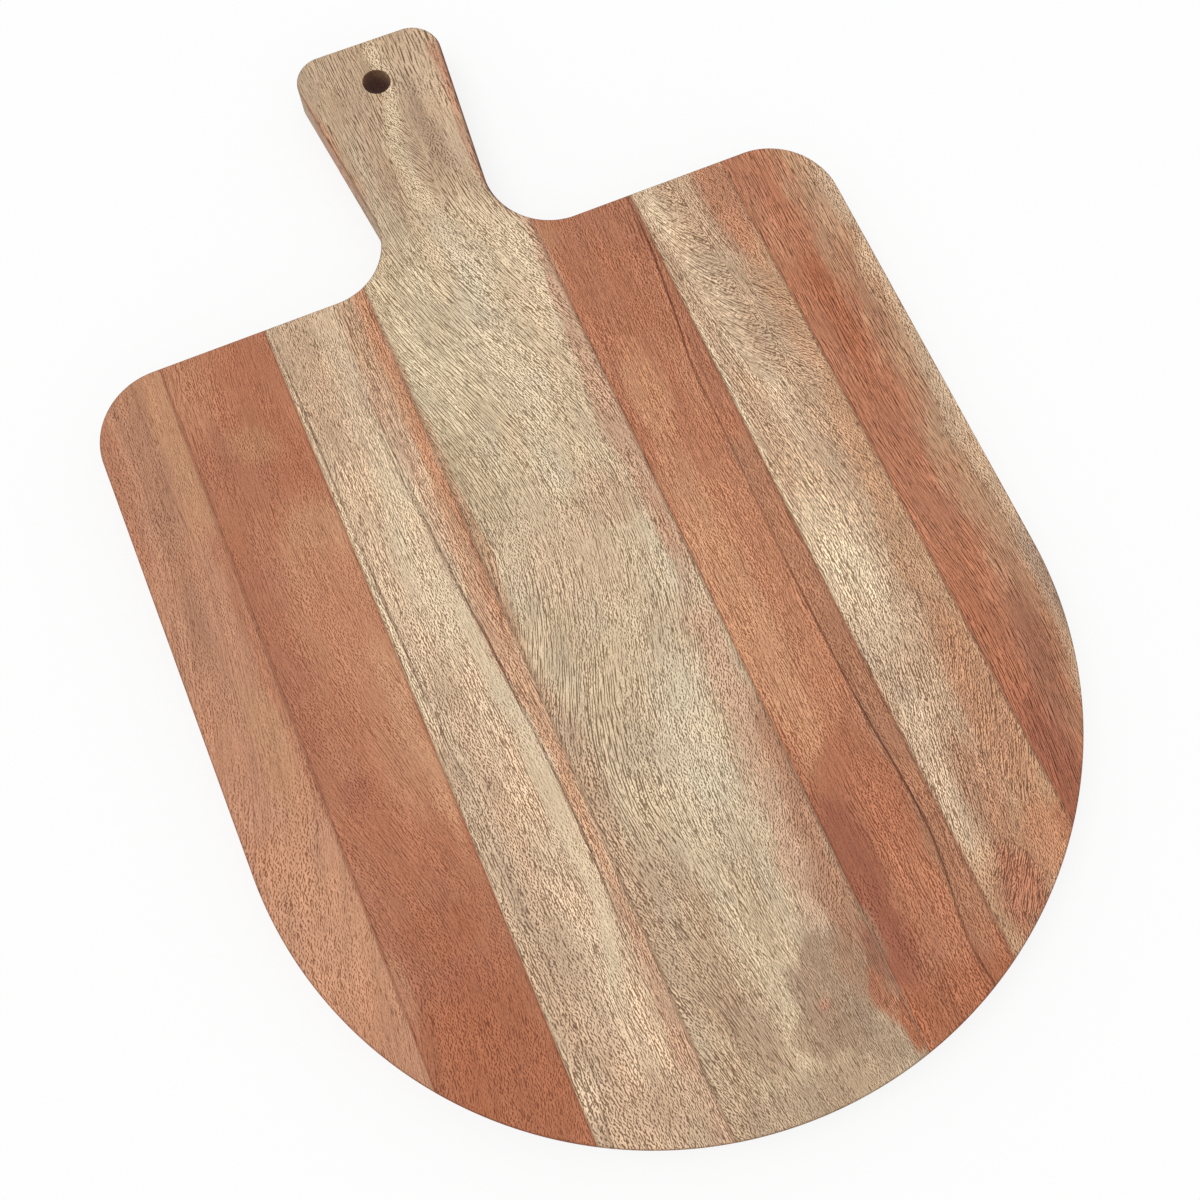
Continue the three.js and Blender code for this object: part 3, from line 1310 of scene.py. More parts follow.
@dataclass(frozen=True)
class PaintedShade:
    """Painted shade in the bore, darker further down, and a painted shaded strip along the handle's right edge.

    Attributes:
        outline: the board's plan.
        hole: the bore.
        bore_margin: how far outside the bore's wall the painted shade reaches.
        bore_edge: width over which it fades there.
        bore_gain: how soon a steeper surface counts as the bore's wall.
        bore_top: cover at the top of the bore.
        bore_depth: depth at which the cover is full.
        strip_share: cover of the strip along the handle's edge.
        strip_width: width of that strip.
        strip_edge: width over which its inner side fades.
        strip_low: Y at which it starts.
        strip_high: Y at which it ends.
        strip_fade: length over which its ends fade.
    """

    outline: PaddleOutline
    hole: HangingHole
    bore_margin: float = 1.0
    bore_edge: float = 0.8
    bore_gain: float = 2.0
    bore_top: float = 0.45
    bore_depth: float = 9.0
    strip_share: float = 0.75
    strip_width: float = 1.7
    strip_edge: float = 1.1
    strip_low: float = 121.0
    strip_high: float = 217.0
    strip_fade: float = 8.0

    def cover(self, points: Array, normals: Array) -> Array:
        """Cover of the painted shade: the bore's wall, less near the top, and a strip along the handle's right edge.

        Args:
            points: places in millimetres.
            normals: outward normals there.

        Returns:
            A share for each place.
        """
        x, y, z = points[:, 0], points[:, 1], points[:, 2]
        # Painted shade on the bore's wall, darker further down.
        inside = self.hole.radius + self.bore_margin - np.hypot(x, y - self.hole.y)
        in_bore = smooth(inside / self.bore_edge) * steep(normals, self.bore_gain)
        deep = smooth((self.outline.thickness - z) / self.bore_depth)
        in_bore *= self.bore_top + (1.0 - self.bore_top) * deep
        # Painted shade as a strip along the handle's right edge.
        strip = smooth((x - self.outline.handle_edge(y) + self.strip_width) / self.strip_edge)
        strip = strip * smooth((y - self.strip_low) / self.strip_fade)
        strip = strip * smooth((self.strip_high - y) / self.strip_fade)
        return np.clip(in_bore + self.strip_share * strip, 0.0, 1.0)


def mesh_points(mesh: bpy.types.Mesh) -> tuple[Array, Array]:
    """Places in millimetres and outward normals of a mesh's points.

    Args:
        mesh: the mesh.

    Returns:
        Places and normals, three numbers each.
    """
    count = len(mesh.vertices)
    places, normals = np.empty(count * 3), np.empty(count * 3)
    mesh.vertices.foreach_get("co", places)
    mesh.vertices.foreach_get("normal", normals)
    return places.reshape(-1, 3) / MM, normals.reshape(-1, 3)


def write_vectors(mesh: bpy.types.Mesh, name: str, values: Array) -> None:
    """Write three numbers to each point of a mesh."""
    layer = mesh.attributes.new(name, "FLOAT_VECTOR", "POINT")
    layer.data.foreach_set("vector", values.astype(np.float32).ravel())


def write_colours(mesh: bpy.types.Mesh, name: str, values: Array) -> None:
    """Write a linear colour to each point of a mesh.

    Args:
        mesh: the mesh.
        name: name of the attribute.
        values: red, green and blue of each point.
    """
    layer = mesh.attributes.new(name, "FLOAT_COLOR", "POINT")
    full = np.hstack((values, np.ones((len(values), 1))))
    layer.data.foreach_set("color", full.astype(np.float32).ravel())


@dataclass
class PanelPiece:
    """A piece of the panel that stands for one CAD node.

    Attributes:
        node: the CAD node.
        slot: the record's material slot.
    """

    node: str
    slot: str

    def strip(self, trace: OutlineTrace, place: Place) -> PanelStrip:
        """The strip between the planes of the CAD node."""
        low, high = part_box(self.node)
        return PanelStrip(trace, place, low.x / MM, high.x / MM)

    def piece(self, strip: PanelStrip, ending: str) -> bpy.types.Object:
        """Make an object of the strip's shape.

        Args:
            strip: the strip.
            ending: what follows the node's name in the piece's name.

        Returns:
            The new object.
        """
        name = self.node + ending
        piece = bpy.data.objects.new(name, strip.sketch().mesh(name))
        bpy.context.scene.collection.objects.link(piece)
        return piece

    def fit(self, piece: bpy.types.Object, finish: bpy.types.Material) -> None:
        """Give the piece its material and its place in the frame.

        Args:
            piece: the piece.
            finish: its material.
        """
        piece.data.materials.append(finish)
        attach(piece, "root")
        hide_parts(self.node)


@dataclass
class Stave(PanelPiece):
    """One stave of the board.

    Attributes:
        place: where it lies in the panel.
        figure: its colour and grain.
        finish: its finish.
        wall_gain: how soon a steeper surface counts as sawn wall.
        rim_shade_gain: how soon a steeper surface counts as rounded rim, which gets painted shade.
        rim_shade_share: strength of the painted shade on that rim.
        rim_shade_loss: share of that painted shade that the upright wall below the rim lacks.
        rim_shade_end: steepness at which the rim gives way to the wall.
    """

    place: Place
    figure: StaveFigure
    finish: WoodFinish
    wall_gain: float = 1.5
    rim_shade_gain: float = 2.6
    rim_shade_share: float = 0.85
    rim_shade_loss: float = 0.7
    rim_shade_end: float = 0.75

    def build(self, trace: OutlineTrace) -> bpy.types.Object:
        """Make the stave and lay its grain.

        Args:
            trace: the board's outline.

        Returns:
            The stave's object.
        """
        strip = self.strip(trace, self.place)
        piece = self.piece(strip, "_wood")
        self._lay_grain(piece.data, strip)
        return piece

    def _lay_grain(self, mesh: bpy.types.Mesh, strip: PanelStrip) -> None:
        """Write the figure to the mesh's points.

        Args:
            mesh: the stave's mesh.
            strip: the strip that it was made from.
        """
        points, normals = mesh_points(mesh)
        depth = strip.trace.sizes.thickness - points[:, 2]
        x, y = points[:, 0] + self.figure.slant * depth, points[:, 1] + END_SLANT * depth
        tone, marks = self.figure.tones(x, y)
        gap = np.full((len(points), 3), NO_VEIN)
        weight = np.zeros((len(points), 3))
        for column, vein in enumerate(self.figure.veins):
            gap[:, column] = vein.gap(x, y)
            weight[:, column] = vein.weight(y)
        upright = 1.0 - np.abs(normals[:, 2])
        wall = steep(normals, self.wall_gain)
        marks += wall[:, None] * (Marks.SAWN.weights - marks)
        # Painted shade in the bore and along the handle's right edge.
        painted_shade = PaintedShade(strip.trace.sizes, strip.hole).cover(points, normals)
        # Painted shade on the rounded rims, weaker on the upright wall below them.
        past_rim = smooth((upright - self.rim_shade_end) / (1.0 - self.rim_shade_end))
        rim = self.rim_shade_share * steep(normals, self.rim_shade_gain) * (1.0 - self.rim_shade_loss * past_rim)
        # Darker end grain on faces across the fibres, plus the painted shade on the rims.
        end = np.clip(normals[:, 1] ** 2 * wall * (1.0 - painted_shade) + rim, 0.0, 1.0)
        leaning, lean_cover = self.figure.leaning(points)
        vectors = {
            "grain": self.figure.grain(points, strip.low_x, strip.high_x),
            "leaning": leaning,
            "marks": marks,
            "vein_gap": gap,
            "vein_weight": weight,
            # Painted shade, end grain darkening with painted rim shade, and the cover of the leaning fibres.
            "shade_endgrain_lean": np.stack((painted_shade, end, lean_cover * (1.0 - upright)), axis=1),
        }
        for name, values in vectors.items():
            write_vectors(mesh, name, values)
        write_colours(mesh, "tone", tone)

    def dress(self, piece: bpy.types.Object) -> None:
        """Give the stave its finish and its place in the frame."""
        self.fit(piece, self.finish.material(self.slot))


@dataclass
class GlueFilm(PanelPiece):
    """The bond line between two staves, sanded flush.

    Attributes:
        tone: its colour.
        seed: seed of its drift in lightness.
        drift: strength of that drift.
        cell: length over which it changes, in millimetres.
        end_gain: how soon a face across the grain counts as end grain.
        specks: how fine its specks are.
        roughness: roughness of its face.
        specular: strength of its gloss.
    """

    tone: Tone
    seed: int
    drift: float = 0.22
    cell: float = 9.0
    end_gain: float = 2.0
    specks: float = 900.0
    roughness: float = 0.6
    specular: float = 0.25

    def build(self, trace: OutlineTrace) -> bpy.types.Object:
        """Make the film: its tone drifts along it, and darkens on end grain.

        Args:
            trace: the board's outline.

        Returns:
            The film's object.
        """
        piece = self.piece(self.strip(trace, Place.INSIDE), "_film")
        points, normals = mesh_points(piece.data)
        drift = self.drift * Drift(self.seed, self.cell, self.cell).at(points[:, 1], points[:, 2])
        end = smooth(self.end_gain * normals[:, 1] ** 2)[:, None] * (1.0 - np.array(END_GRAIN_AND_RIM_SHADE_TINT))
        write_colours(piece.data, "tone", self.tone.linear * (1.0 + drift[:, None]) * (1.0 - end))
        return piece

    def dress(self, piece: bpy.types.Object) -> None:
        """Give the film its finish, the tone times fine specks, and its place in the frame.

        Args:
            piece: the film's object.
        """
        glue = bpy.data.materials.new("glue_line")
        bench = NodeBench(glue)
        speck = bench.add("TexNoise", {"Vector": bench.add("TexCoord").outputs["Object"], "Scale": self.specks})
        shade = bench.ramp(speck.outputs["Fac"], 0.3, 0.7, start=0.8, stop=1.1)
        tone = bench.vector("SCALE", bench.attribute("tone", "Color"), shade)
        inputs = {"Base Color": tone, "Roughness": self.roughness, "Specular IOR Level": self.specular}
        bench.add("OutputMaterial", {"Surface": bench.add("BsdfPrincipled", inputs).outputs[0]})
        self.fit(piece, glue)


LEFT_OUTER = StaveFigure(
    base=Tone.PINK_TAN,
    marks=Marks.FINE,
    areas=(
        Streak(Tone.RED_TAN, ((112, -147, 4), (70, -147, 4), (40, -148, 3)), 0.6),
        Streak(Tone.GOLD_TAN, ((114, -124, 6), (80, -125, 5), (45, -124, 4)), 0.7),
        Streak(
            Tone.GREY_BROWN,
            ((130, -134, 5.5), (100, -134.5, 5.5), (70, -134.5, 4.5), (50, -136, 4), (20, -138, 4), (0, -140, 3)),
            0.7, 4.0, 16.0, Marks.FLECKED,
        ),
        Streak(Tone.RED_TAN, ((45, -120, 5), (20, -120, 5), (-20, -119, 5), (-60, -119, 4)), 0.75),
        Blotch(Tone.GOLD_TAN, -129, -38, 6, 28, 0.6, 0.8, Marks.SMOOTH),
        Blotch(Tone.PALE_ORANGE, -132, -105, 16, 42, 1.0, 0.9, Marks.FLECKED),
        Blotch(Tone.PINK_TAN, -134, -138, 10, 14, 0.7, 0.9),
    ),
    veins=(
        Vein((
            (112, -131, 0.2), (80, -131.2, 0.25), (60, -131, 0.3), (45, -129.5, 0.2), (25, -130, 0.25),
            (5, -132, 0.15),
        )),
    ),
    flow=Flow((
        (112, 0, 0, 0), (60, 2, 3, 0), (30, 6, 7, 2), (0, 8, 7, 3), (-35, 14, 8, 4), (-65, 12, 12, 14),
        (-95, 8, 14, 18), (-130, 4, 8, 10), (-160, 0, 4, 6),
    )),
    seed=3,
)

LEFT_MIDDLE = StaveFigure(
    base=Tone.RED_TAN,
    marks=Marks.FINE,
    areas=(
        Streak(Tone.RED_BROWN, ((114, -88, 9), (85, -90, 10), (50, -92, 13)), 0.9, 8.0),
        Blotch(Tone.RED_BROWN, -106, 62, 20, 18, 0.8),
        Blotch(Tone.ORANGE_TAN, -112, 102, 8, 18, 0.7),
        Blotch(Tone.GOLD_TAN, -98, 71, 8, 8, 0.5, 0.9, lean=-0.4),
        Blotch(Tone.WARM_ORANGE, -91, 4, 15, 40, 0.8, 0.6),
        Blotch(Tone.GOLD_TAN, -89, 32, 11, 8, 0.6),
        Streak(Tone.RED_BROWN, ((45, -116, 4.5), (0, -115, 4.5), (-60, -116, 5)), 0.8),
        Blotch(Tone.AMBER, -81, 30, 3, 12, 0.6),
        Blotch(Tone.WARM_ORANGE, -91, -56, 8, 22, 0.7),
        Streak(Tone.AMBER, ((-15, -83, 4), (-45, -83, 5), (-68, -82.5, 4), (-95, -81, 1)), 0.9, 5.0, 20.0),
        Blotch(Tone.RED_BROWN, -109, -76, 9, 18, 0.75, lean=0.2),
        Blotch(Tone.RED_BROWN, -102, -122, 24, 36, 0.95, 0.7),
        Blotch(Tone.DEEP_RED, -100, -172, 26, 46, 0.9, 0.8, Marks.FLECKED),
        Blotch(Tone.BRICK, -109, -63, 6, 6, 0.5, lean=0.2),
        Blotch(Tone.DEEP_RED, -98, -116, 12, 9, 0.55),
        Blotch(Tone.BRICK, -98, -134, 10, 8, 0.35),
        Blotch(Tone.ORANGE_TAN, -117.5, -129, 3, 12, 0.8),
    ),
    flow=Flow((
        (112, 6, 6, 4), (60, 0, 2, 0), (0, -3, -4, -4), (-40, -10, -11, -11), (-80, -14, -14, -14),
        (-115, -10, -10, -10), (-145, 6, 4, 4), (-170, 14, 12, 12), (-200, 14, 12, 12),
    )),
    seed=11,
    streaky=0.012,
)

LEFT_INNER = StaveFigure(
    base=Tone.CREAM,
    marks=Marks.PORED,
    areas=(
        Streak(Tone.GREY_CREAM, ((116, -69, 8), (80, -70, 6.5), (55, -70, 6)), 0.9, 5.0, 30.0, Marks.FLECKED),
        Streak(Tone.CREAM, ((116, -57, 5), (60, -58, 5), (50, -58, 6)), 0.9, 3.0, 20.0, Marks.FINE),
        Streak(
            Tone.BRIGHT_CREAM,
            ((60, -55, 4), (22, -58, 7), (-10, -59, 7), (-34, -57, 5)),
            0.85, 5.0, 20.0, Marks.FINE,
        ),
        Streak(Tone.TAN, ((118, -46.5, 3.5), (80, -47.5, 4), (62, -48, 3)), 0.75),
        Streak(Tone.PINK_BROWN, ((80, -48, 3.5), (55, -48, 3), (5, -46, 2)), 0.6),
        Streak(
            Tone.AMBER,
            (
                (118, -40, 3.5), (60, -40.5, 3.5), (20, -40.5, 3), (0, -41.5, 4.2), (-30, -42, 5),
                (-55, -41.5, 4), (-80, -40.5, 3.2), (-110, -39.8, 2.4), (-155, -40, 2),
            ),
            0.7, 4.0, 20.0, Marks.FINE,
        ),
        Streak(Tone.AMBER, ((118, -40, 3), (60, -40, 3), (30, -40, 2)), 0.8, 4.0, 20.0),
        Streak(Tone.ORANGE_TAN, ((116, -39, 2), (60, -38.5, 1.5), (0, -38.5, 2), (-30, -39, 2)), 0.7, 3.0, 20.0),
        Streak(
            Tone.BRIGHT_CREAM,
            ((-5, -53, 3), (-60, -48.5, 3.5), (-100, -47.5, 4.3), (-135, -48, 2.5), (-160, -54, 2.5)),
            1.0, 3.0, 20.0, Marks.SMOOTH,
        ),
        Streak(
            Tone.GREY_CREAM,
            ((-36, -69, 4), (-60, -67, 4), (-90, -66, 5), (-130, -67, 6), (-200, -65, 6)),
            0.85, 5.0, 24.0, Marks.FLECKED,
        ),
        Streak(Tone.GREY_CREAM, ((-55, -75.5, 2), (-100, -74, 3.5), (-150, -74, 3.5), (-178, -73, 3.5)), 0.8, 3.0),
        Streak(Tone.BRIGHT_CREAM, ((45, -77.2, 0.8), (0, -77, 1.1), (-50, -76, 1.2)), 0.95, 1.2),
        Streak(Tone.PINK_BROWN, ((-130, -41, 2), (-165, -40.5, 3), (-215, -41, 5)), 0.9),
        Blotch(Tone.GREY_CREAM, -60, -200, 26, 14, 0.8, 0.9, Marks.FLECKED),
    ),
    veins=(
        Vein((
            (112, -76.3, 0.3), (70, -76, 0.8), (20, -75.6, 0.8), (-20, -75, 0.8), (-40, -74.5, 0.7),
            (-90, -72, 0.4), (-130, -71, 0.35), (-170, -70.5, 0.4), (-185, -71, 0.4), (-198, -74, 0.4),
        )),
        Vein((
            (75, -52, 0.3), (50, -51.5, 0.5), (30, -51, 0.55), (0, -49.3, 0.6), (-20, -48, 0.9), (-30, -47, 1),
            (-50, -46, 1), (-70, -44.5, 1), (-90, -43.5, 1), (-105, -43, 1), (-120, -43, 0.9),
            (-135, -43.5, 0.7), (-155, -45, 0.3),
        )),
        Vein(((78, -54, 0.2), (40, -52.8, 0.45), (10, -50.6, 0.5), (-5, -50, 0.3))),
    ),
    flow=Flow((
        (112, 0, 0, 0), (60, -0.5, -2, -2), (0, -1, -3, -4), (-60, -2, -3, -4), (-120, -1, -2, 0),
        (-150, -1, -2, 0), (-170, -1, -3, -4), (-200, -1, -3, -5),
    )),
    seed=19,
)

CENTRE = StaveFigure(
    base=Tone.KHAKI,
    marks=Marks.PORED,
    areas=(
        Blotch(Tone.FAWN, -2, 190, 44, 54, 0.9, 0.5, Marks.COMBED),
        Streak(Tone.TAUPE, ((205, -15, 5), (170, -11, 3), (140, -13, 4)), 0.3, 5.0, 24.0),
        Streak(
            Tone.KHAKI,
            ((219, 4, 3), (193, 3, 4), (175, -2, 4), (160, -3, 4), (118, -4, 6)),
            1.0, 5.0, 16.0, Marks.FLECKED,
        ),
        Streak(Tone.SAGE, ((180, -20, 2), (145, -19, 2)), 0.5, 3.0),
        Streak(Tone.TAUPE, ((194, 13.5, 4), (165, 12.5, 4), (152, 12.5, 3)), 0.95, 5.0, 18.0, Marks.FINE),
        Streak(Tone.WARM_ORANGE, ((200, -31, 3.5), (180, -29.5, 3.5), (155, -26, 2.5)), 0.6, 3.0),
        Streak(Tone.PINK_BEIGE, ((210, 21, 5), (180, 18.6, 4.2), (148, 17, 3)), 0.7, 5.0, 20.0, Marks.SMOOTH),
        Streak(Tone.SMUDGE_RED, ((208, 27.5, 2.2), (180, 25.3, 1.4), (145, 22, 1.0), (126, 26, 1.5)), 0.48, 2.5),
        Blotch(Tone.GREEN_KHAKI, -22, 78, 20, 46, 0.8, 0.9, Marks.LINED),
        Blotch(Tone.STRAW, 2, 70, 11, 56, 0.7, 0.9),
        Blotch(Tone.SAGE, -20, 128, 6, 12, 0.6, 0.9),
        Blotch(Tone.MOSS, -30, 26, 9, 22, 0.55, 0.9, Marks.LINED),
        Blotch(Tone.PINK_BEIGE, -7, -16, 20, 20, 0.75, 0.9, Marks.FINE),
        Blotch(Tone.PINK_BROWN, 15, 2, 12, 12, 0.45, 0.9),
        Streak(
            Tone.BRIGHT_CREAM,
            ((132, 14, 5), (105, 22, 5), (84, 23, 4), (66, 18, 5), (50, 19, 5)),
            0.7, 6.0, 24.0,
        ),
        Streak(
            Tone.PINK_BROWN,
            (
                (132, 27, 1.5), (118, 31, 2.5), (100, 31, 2.5), (80, 29.5, 4), (60, 29, 3.5), (30, 28, 5),
                (0, 29, 4), (-38, 29, 3),
            ),
            0.95, 4.0, 20.0,
        ),
        Blotch(Tone.WARM_ORANGE, 27, -12, 3, 16, 0.3),
        Streak(Tone.STRAW, ((-8, 22, 1.5), (-34, 22, 2)), 0.5, 2.5),
        Streak(
            Tone.TAN,
            ((90, -37, 1), (40, -37, 1.5), (20, -36.5, 2), (5, -35.5, 2.5), (-25, -36.5, 2), (-48, -37, 1.5)),
            0.8, 2.5,
        ),
        Blotch(Tone.SAGE, -24, -62, 14, 42, 0.8, 0.9, Marks.LINED),
        Blotch(Tone.SAGE, 10, -55, 12, 10, 0.4),
        Streak(Tone.PINK_BROWN, ((-50, -36, 2), (-75, -34, 3), (-120, -34, 4), (-150, -35, 4)), 0.6, 4.0, 14.0),
        Blotch(Tone.FAWN, -33, -84, 5, 28, 0.7, 0.9, Marks.FINE),
        Blotch(Tone.STRAW, 5, -92, 10, 30, 0.85, 0.8, Marks.FINE),
        Blotch(Tone.STRAW, -10, -126, 6, 28, 0.5),
        Blotch(Tone.SAGE, 1, -142, 6, 20, 0.7, 0.9),
        Streak(
            Tone.PINK_BROWN,
            ((-45, 27, 4), (-75, 24, 7), (-110, 25, 8), (-165, 22, 10)),
            0.85, 8.0, 24.0, Marks.FLECKED,
        ),
        Streak(Tone.GREY_BROWN, ((-85, 30, 3.5), (-130, 29, 5), (-160, 27, 6), (-180, 29, 5)), 0.75, 6.0, 14.0),
        Blotch(Tone.FAWN, -28, -152, 16, 36, 0.8, 0.9),
        Blotch(Tone.TAUPE, -18, -187, 8, 20, 0.7, 0.9, lean=-0.1),
        Blotch(Tone.FAWN, -33, -201, 8, 14, 0.7, 0.9),
        Blotch(Tone.TAUPE, 15, -185, 15, 19, 0.92, 0.4, Marks.FINE, 0.22),
        Blotch(Tone.TAUPE, 3, -197, 8, 9, 0.8, 0.6, Marks.FINE, 0.22),
        Blotch(Tone.TAUPE, 23, -208, 8, 9, 0.7, 0.8, Marks.FLECKED, 0.22, lean=-0.4),
        Blotch(Tone.GREY_BROWN, 25, -180, 8, 14, 0.4, 0.9),
        Blotch(Tone.TAUPE, -8, -214, 34, 8, 0.6, 0.9, Marks.FLECKED),
        Blotch(Tone.DARK_BROWN, 30.5, -184, 3.5, 14, 0.85),
        Streak(Tone.DEEP_RED, ((-196, 32, 0.8), (-204, 31, 2), (-216, 30.8, 2)), 0.95, 2.0, 8.0),
        Streak(Tone.RED_BROWN, ((-187, 27, 2), (-193, 26, 3.5), (-199, 28, 3.5), (-206, 31, 2)), 0.85, 3.0, 4.0),
        Blotch(Tone.SMUDGE_RED, 7.5, -189, 2.2, 1.6, 0.4, 0.9),
        Blotch(Tone.TAUPE, -1, 208, 2.5, 2.5, 0.5),
    ),
    flow=Flow((
        (220, -1, 0, 2), (180, -2, -2, 3), (150, -4, -5, 0), (125, -10, -13, -12), (100, -19, -19, -18),
        (70, -21, -20, -17), (45, -17, -16, -12), (20, -7, -8, -3), (0, 2, 2, 2), (-20, 13, 9, 4),
        (-45, 23, 15, 9), (-65, 18, 13, 13), (-90, 5, 6, 14), (-115, -7, 0, 12), (-140, -12, -5, 9),
        (-170, -14, -8, 3), (-200, -14, -9, -2), (-218, -14, -10, -5),
    )),
    leans=(Lean(0, 162, -24, 5, 30), Lean(24, -138, 20, 8, 26)),
    seed=27,
    slant=0.0,
)

RIGHT_INNER = StaveFigure(
    base=Tone.RED_TAN,
    marks=Marks.FINE,
    areas=(
        Blotch(Tone.RED_BROWN, 50, 98, 20, 36, 0.45, 0.8, Marks.SMOOTH),
        Blotch(Tone.WARM_ORANGE, 49, -48, 18, 64, 0.75, 0.7),
        Blotch(Tone.AMBER, 45, 35, 7, 22, 0.7, 0.8),
        Blotch(Tone.AMBER, 41, -58, 9, 66, 0.85, 0.7),
        Blotch(Tone.RED_TAN, 54, 12, 6, 13, 0.8),
        Streak(Tone.WARM_ORANGE, ((50, 61, 3), (15, 61, 3)), 0.6),
        Streak(Tone.GREY_BROWN, ((5, 68, 5), (-100, 68, 5), (-190, 67, 6)), 0.8, 3.0),
        Blotch(Tone.RED_BROWN, 52, -136, 13, 24, 0.9, 0.4),
        Blotch(Tone.BRICK, 36, -160, 9, 34, 0.95, 0.6, Marks.SMOOTH, 0.25),
        Blotch(Tone.RED_BROWN, 48, -117, 8, 10, 0.8, 0.5, Marks.SMOOTH, 0.25, lean=0.7),
        Streak(Tone.RED_TAN, ((-152, 54, 4), (-195, 52, 6)), 0.6),
        Blotch(Tone.DEEP_RED, 52, -206, 24, 11, 0.7),
        Streak(Tone.TAUPE, ((-165, 33, 1.2), (-186, 33, 1.2)), 0.5, 1.8, 8.0),
        Streak(Tone.PINK_BROWN, ((116, 33, 0.8), (85, 33, 0.8)), 0.6, 1.2),
        Blotch(Tone.ORANGE_TAN, 36, 108, 3, 8, 0.7),
    ),
    veins=(
        Vein((
            (112, 71, 0.9), (90, 70.5, 1), (75, 69, 1), (62, 67.5, 1), (50, 66, 1), (40, 64.5, 0.9),
            (30, 64, 0.7), (10, 64, 0.6), (-10, 63.5, 0.4), (-30, 63, 0.6), (-60, 63, 0.9), (-90, 63.3, 1),
            (-110, 64, 1), (-125, 65, 1), (-140, 65.8, 1), (-150, 66, 1), (-162, 65, 0.9), (-175, 63, 0.7),
            (-185, 61.5, 0.7), (-195, 61, 0.8), (-204, 62, 0.8),
        )),
        Vein(((55, 68, 0.2), (35, 67, 0.4), (15, 67.5, 0.2))),
    ),
    flow=Flow((
        (112, 0, 1, 3), (70, 0, 2, 6), (40, 0, 2, 5), (20, 0, 0, 0), (-100, 0, -1, -1), (-140, 0, -1, -3),
        (-160, 0, 1, 4), (-200, 0, 1, 0),
    )),
    seed=35,
    streaky=0.02,
)

RIGHT_MIDDLE = StaveFigure(
    base=Tone.TAN,
    marks=Marks.FLECKED,
    areas=(
        Streak(
            Tone.GREY_CREAM,
            ((134, 82, 13), (60, 86, 16), (20, 86, 18), (-20, 84, 17), (-60, 85, 15), (-130, 82, 12), (-160, 80, 8)),
            0.95, 8.0, 24.0, Marks.PORED,
        ),
        Streak(
            Tone.CREAM,
            (
                (132, 77, 4), (105, 78, 4), (86, 82, 4), (65, 84.5, 5), (50, 85, 6), (20, 88, 5), (-14, 88, 5),
                (-34, 83, 11), (-60, 83, 10), (-95, 83, 8),
            ),
            0.85, 6.0, 20.0,
        ),
        Blotch(Tone.BRIGHT_CREAM, 83, -54, 9, 28, 0.9),
        Blotch(Tone.BRIGHT_CREAM, 79, 102, 3, 18, 0.6),
        Streak(Tone.BRIGHT_CREAM, ((66, 73, 0.8), (0, 73.3, 1.1), (-75, 73.5, 1.3)), 0.95, 1.5),
        Blotch(Tone.RED_TAN, 106, 99, 8, 26, 0.7, 0.9),
        Blotch(Tone.CREAM, 94, -40, 6, 20, 0.5),
        Streak(Tone.CREAM, ((-105, 79, 5), (-140, 78.5, 4), (-170, 75, 2)), 0.8, 4.0, 16.0),
        Blotch(Tone.WARM_ORANGE, 104, -122, 8, 36, 0.5, 0.8, Marks.LINED),
        Blotch(Tone.GREY_BROWN, 89, -149, 7, 22, 0.7),
        Blotch(Tone.BRICK, 85.5, -182, 8, 15, 0.75, 0.9, Marks.LINED, 0.2, lean=0.15),
        Blotch(Tone.ORANGE_TAN, 103, -172, 9, 14, 0.8),
        Blotch(Tone.RED_BROWN, 111, -168, 3, 8, 0.6),
    ),
    flow=Flow((
        (112, -6, -8, -8), (60, -9, -11, -12), (20, -9, -11, -12), (-20, -8, -9, -9), (-50, -1, -2, -1),
        (-80, 4, 4, 6), (-110, 8, 10, 14), (-150, 9, 12, 15), (-185, 12, 14, 15),
    )),
    leans=(
        Feather(((112, 75), (90, 76.5), (70, 78), (45, 80.5), (20, 84)), 15, 14, 44),
        Lean(87, -179, 36, 8, 12),
        Lean(105, 38, -38, 7, 30),
        Lean(104, -124, 23, 9, 32),
    ),
    seed=43,
)

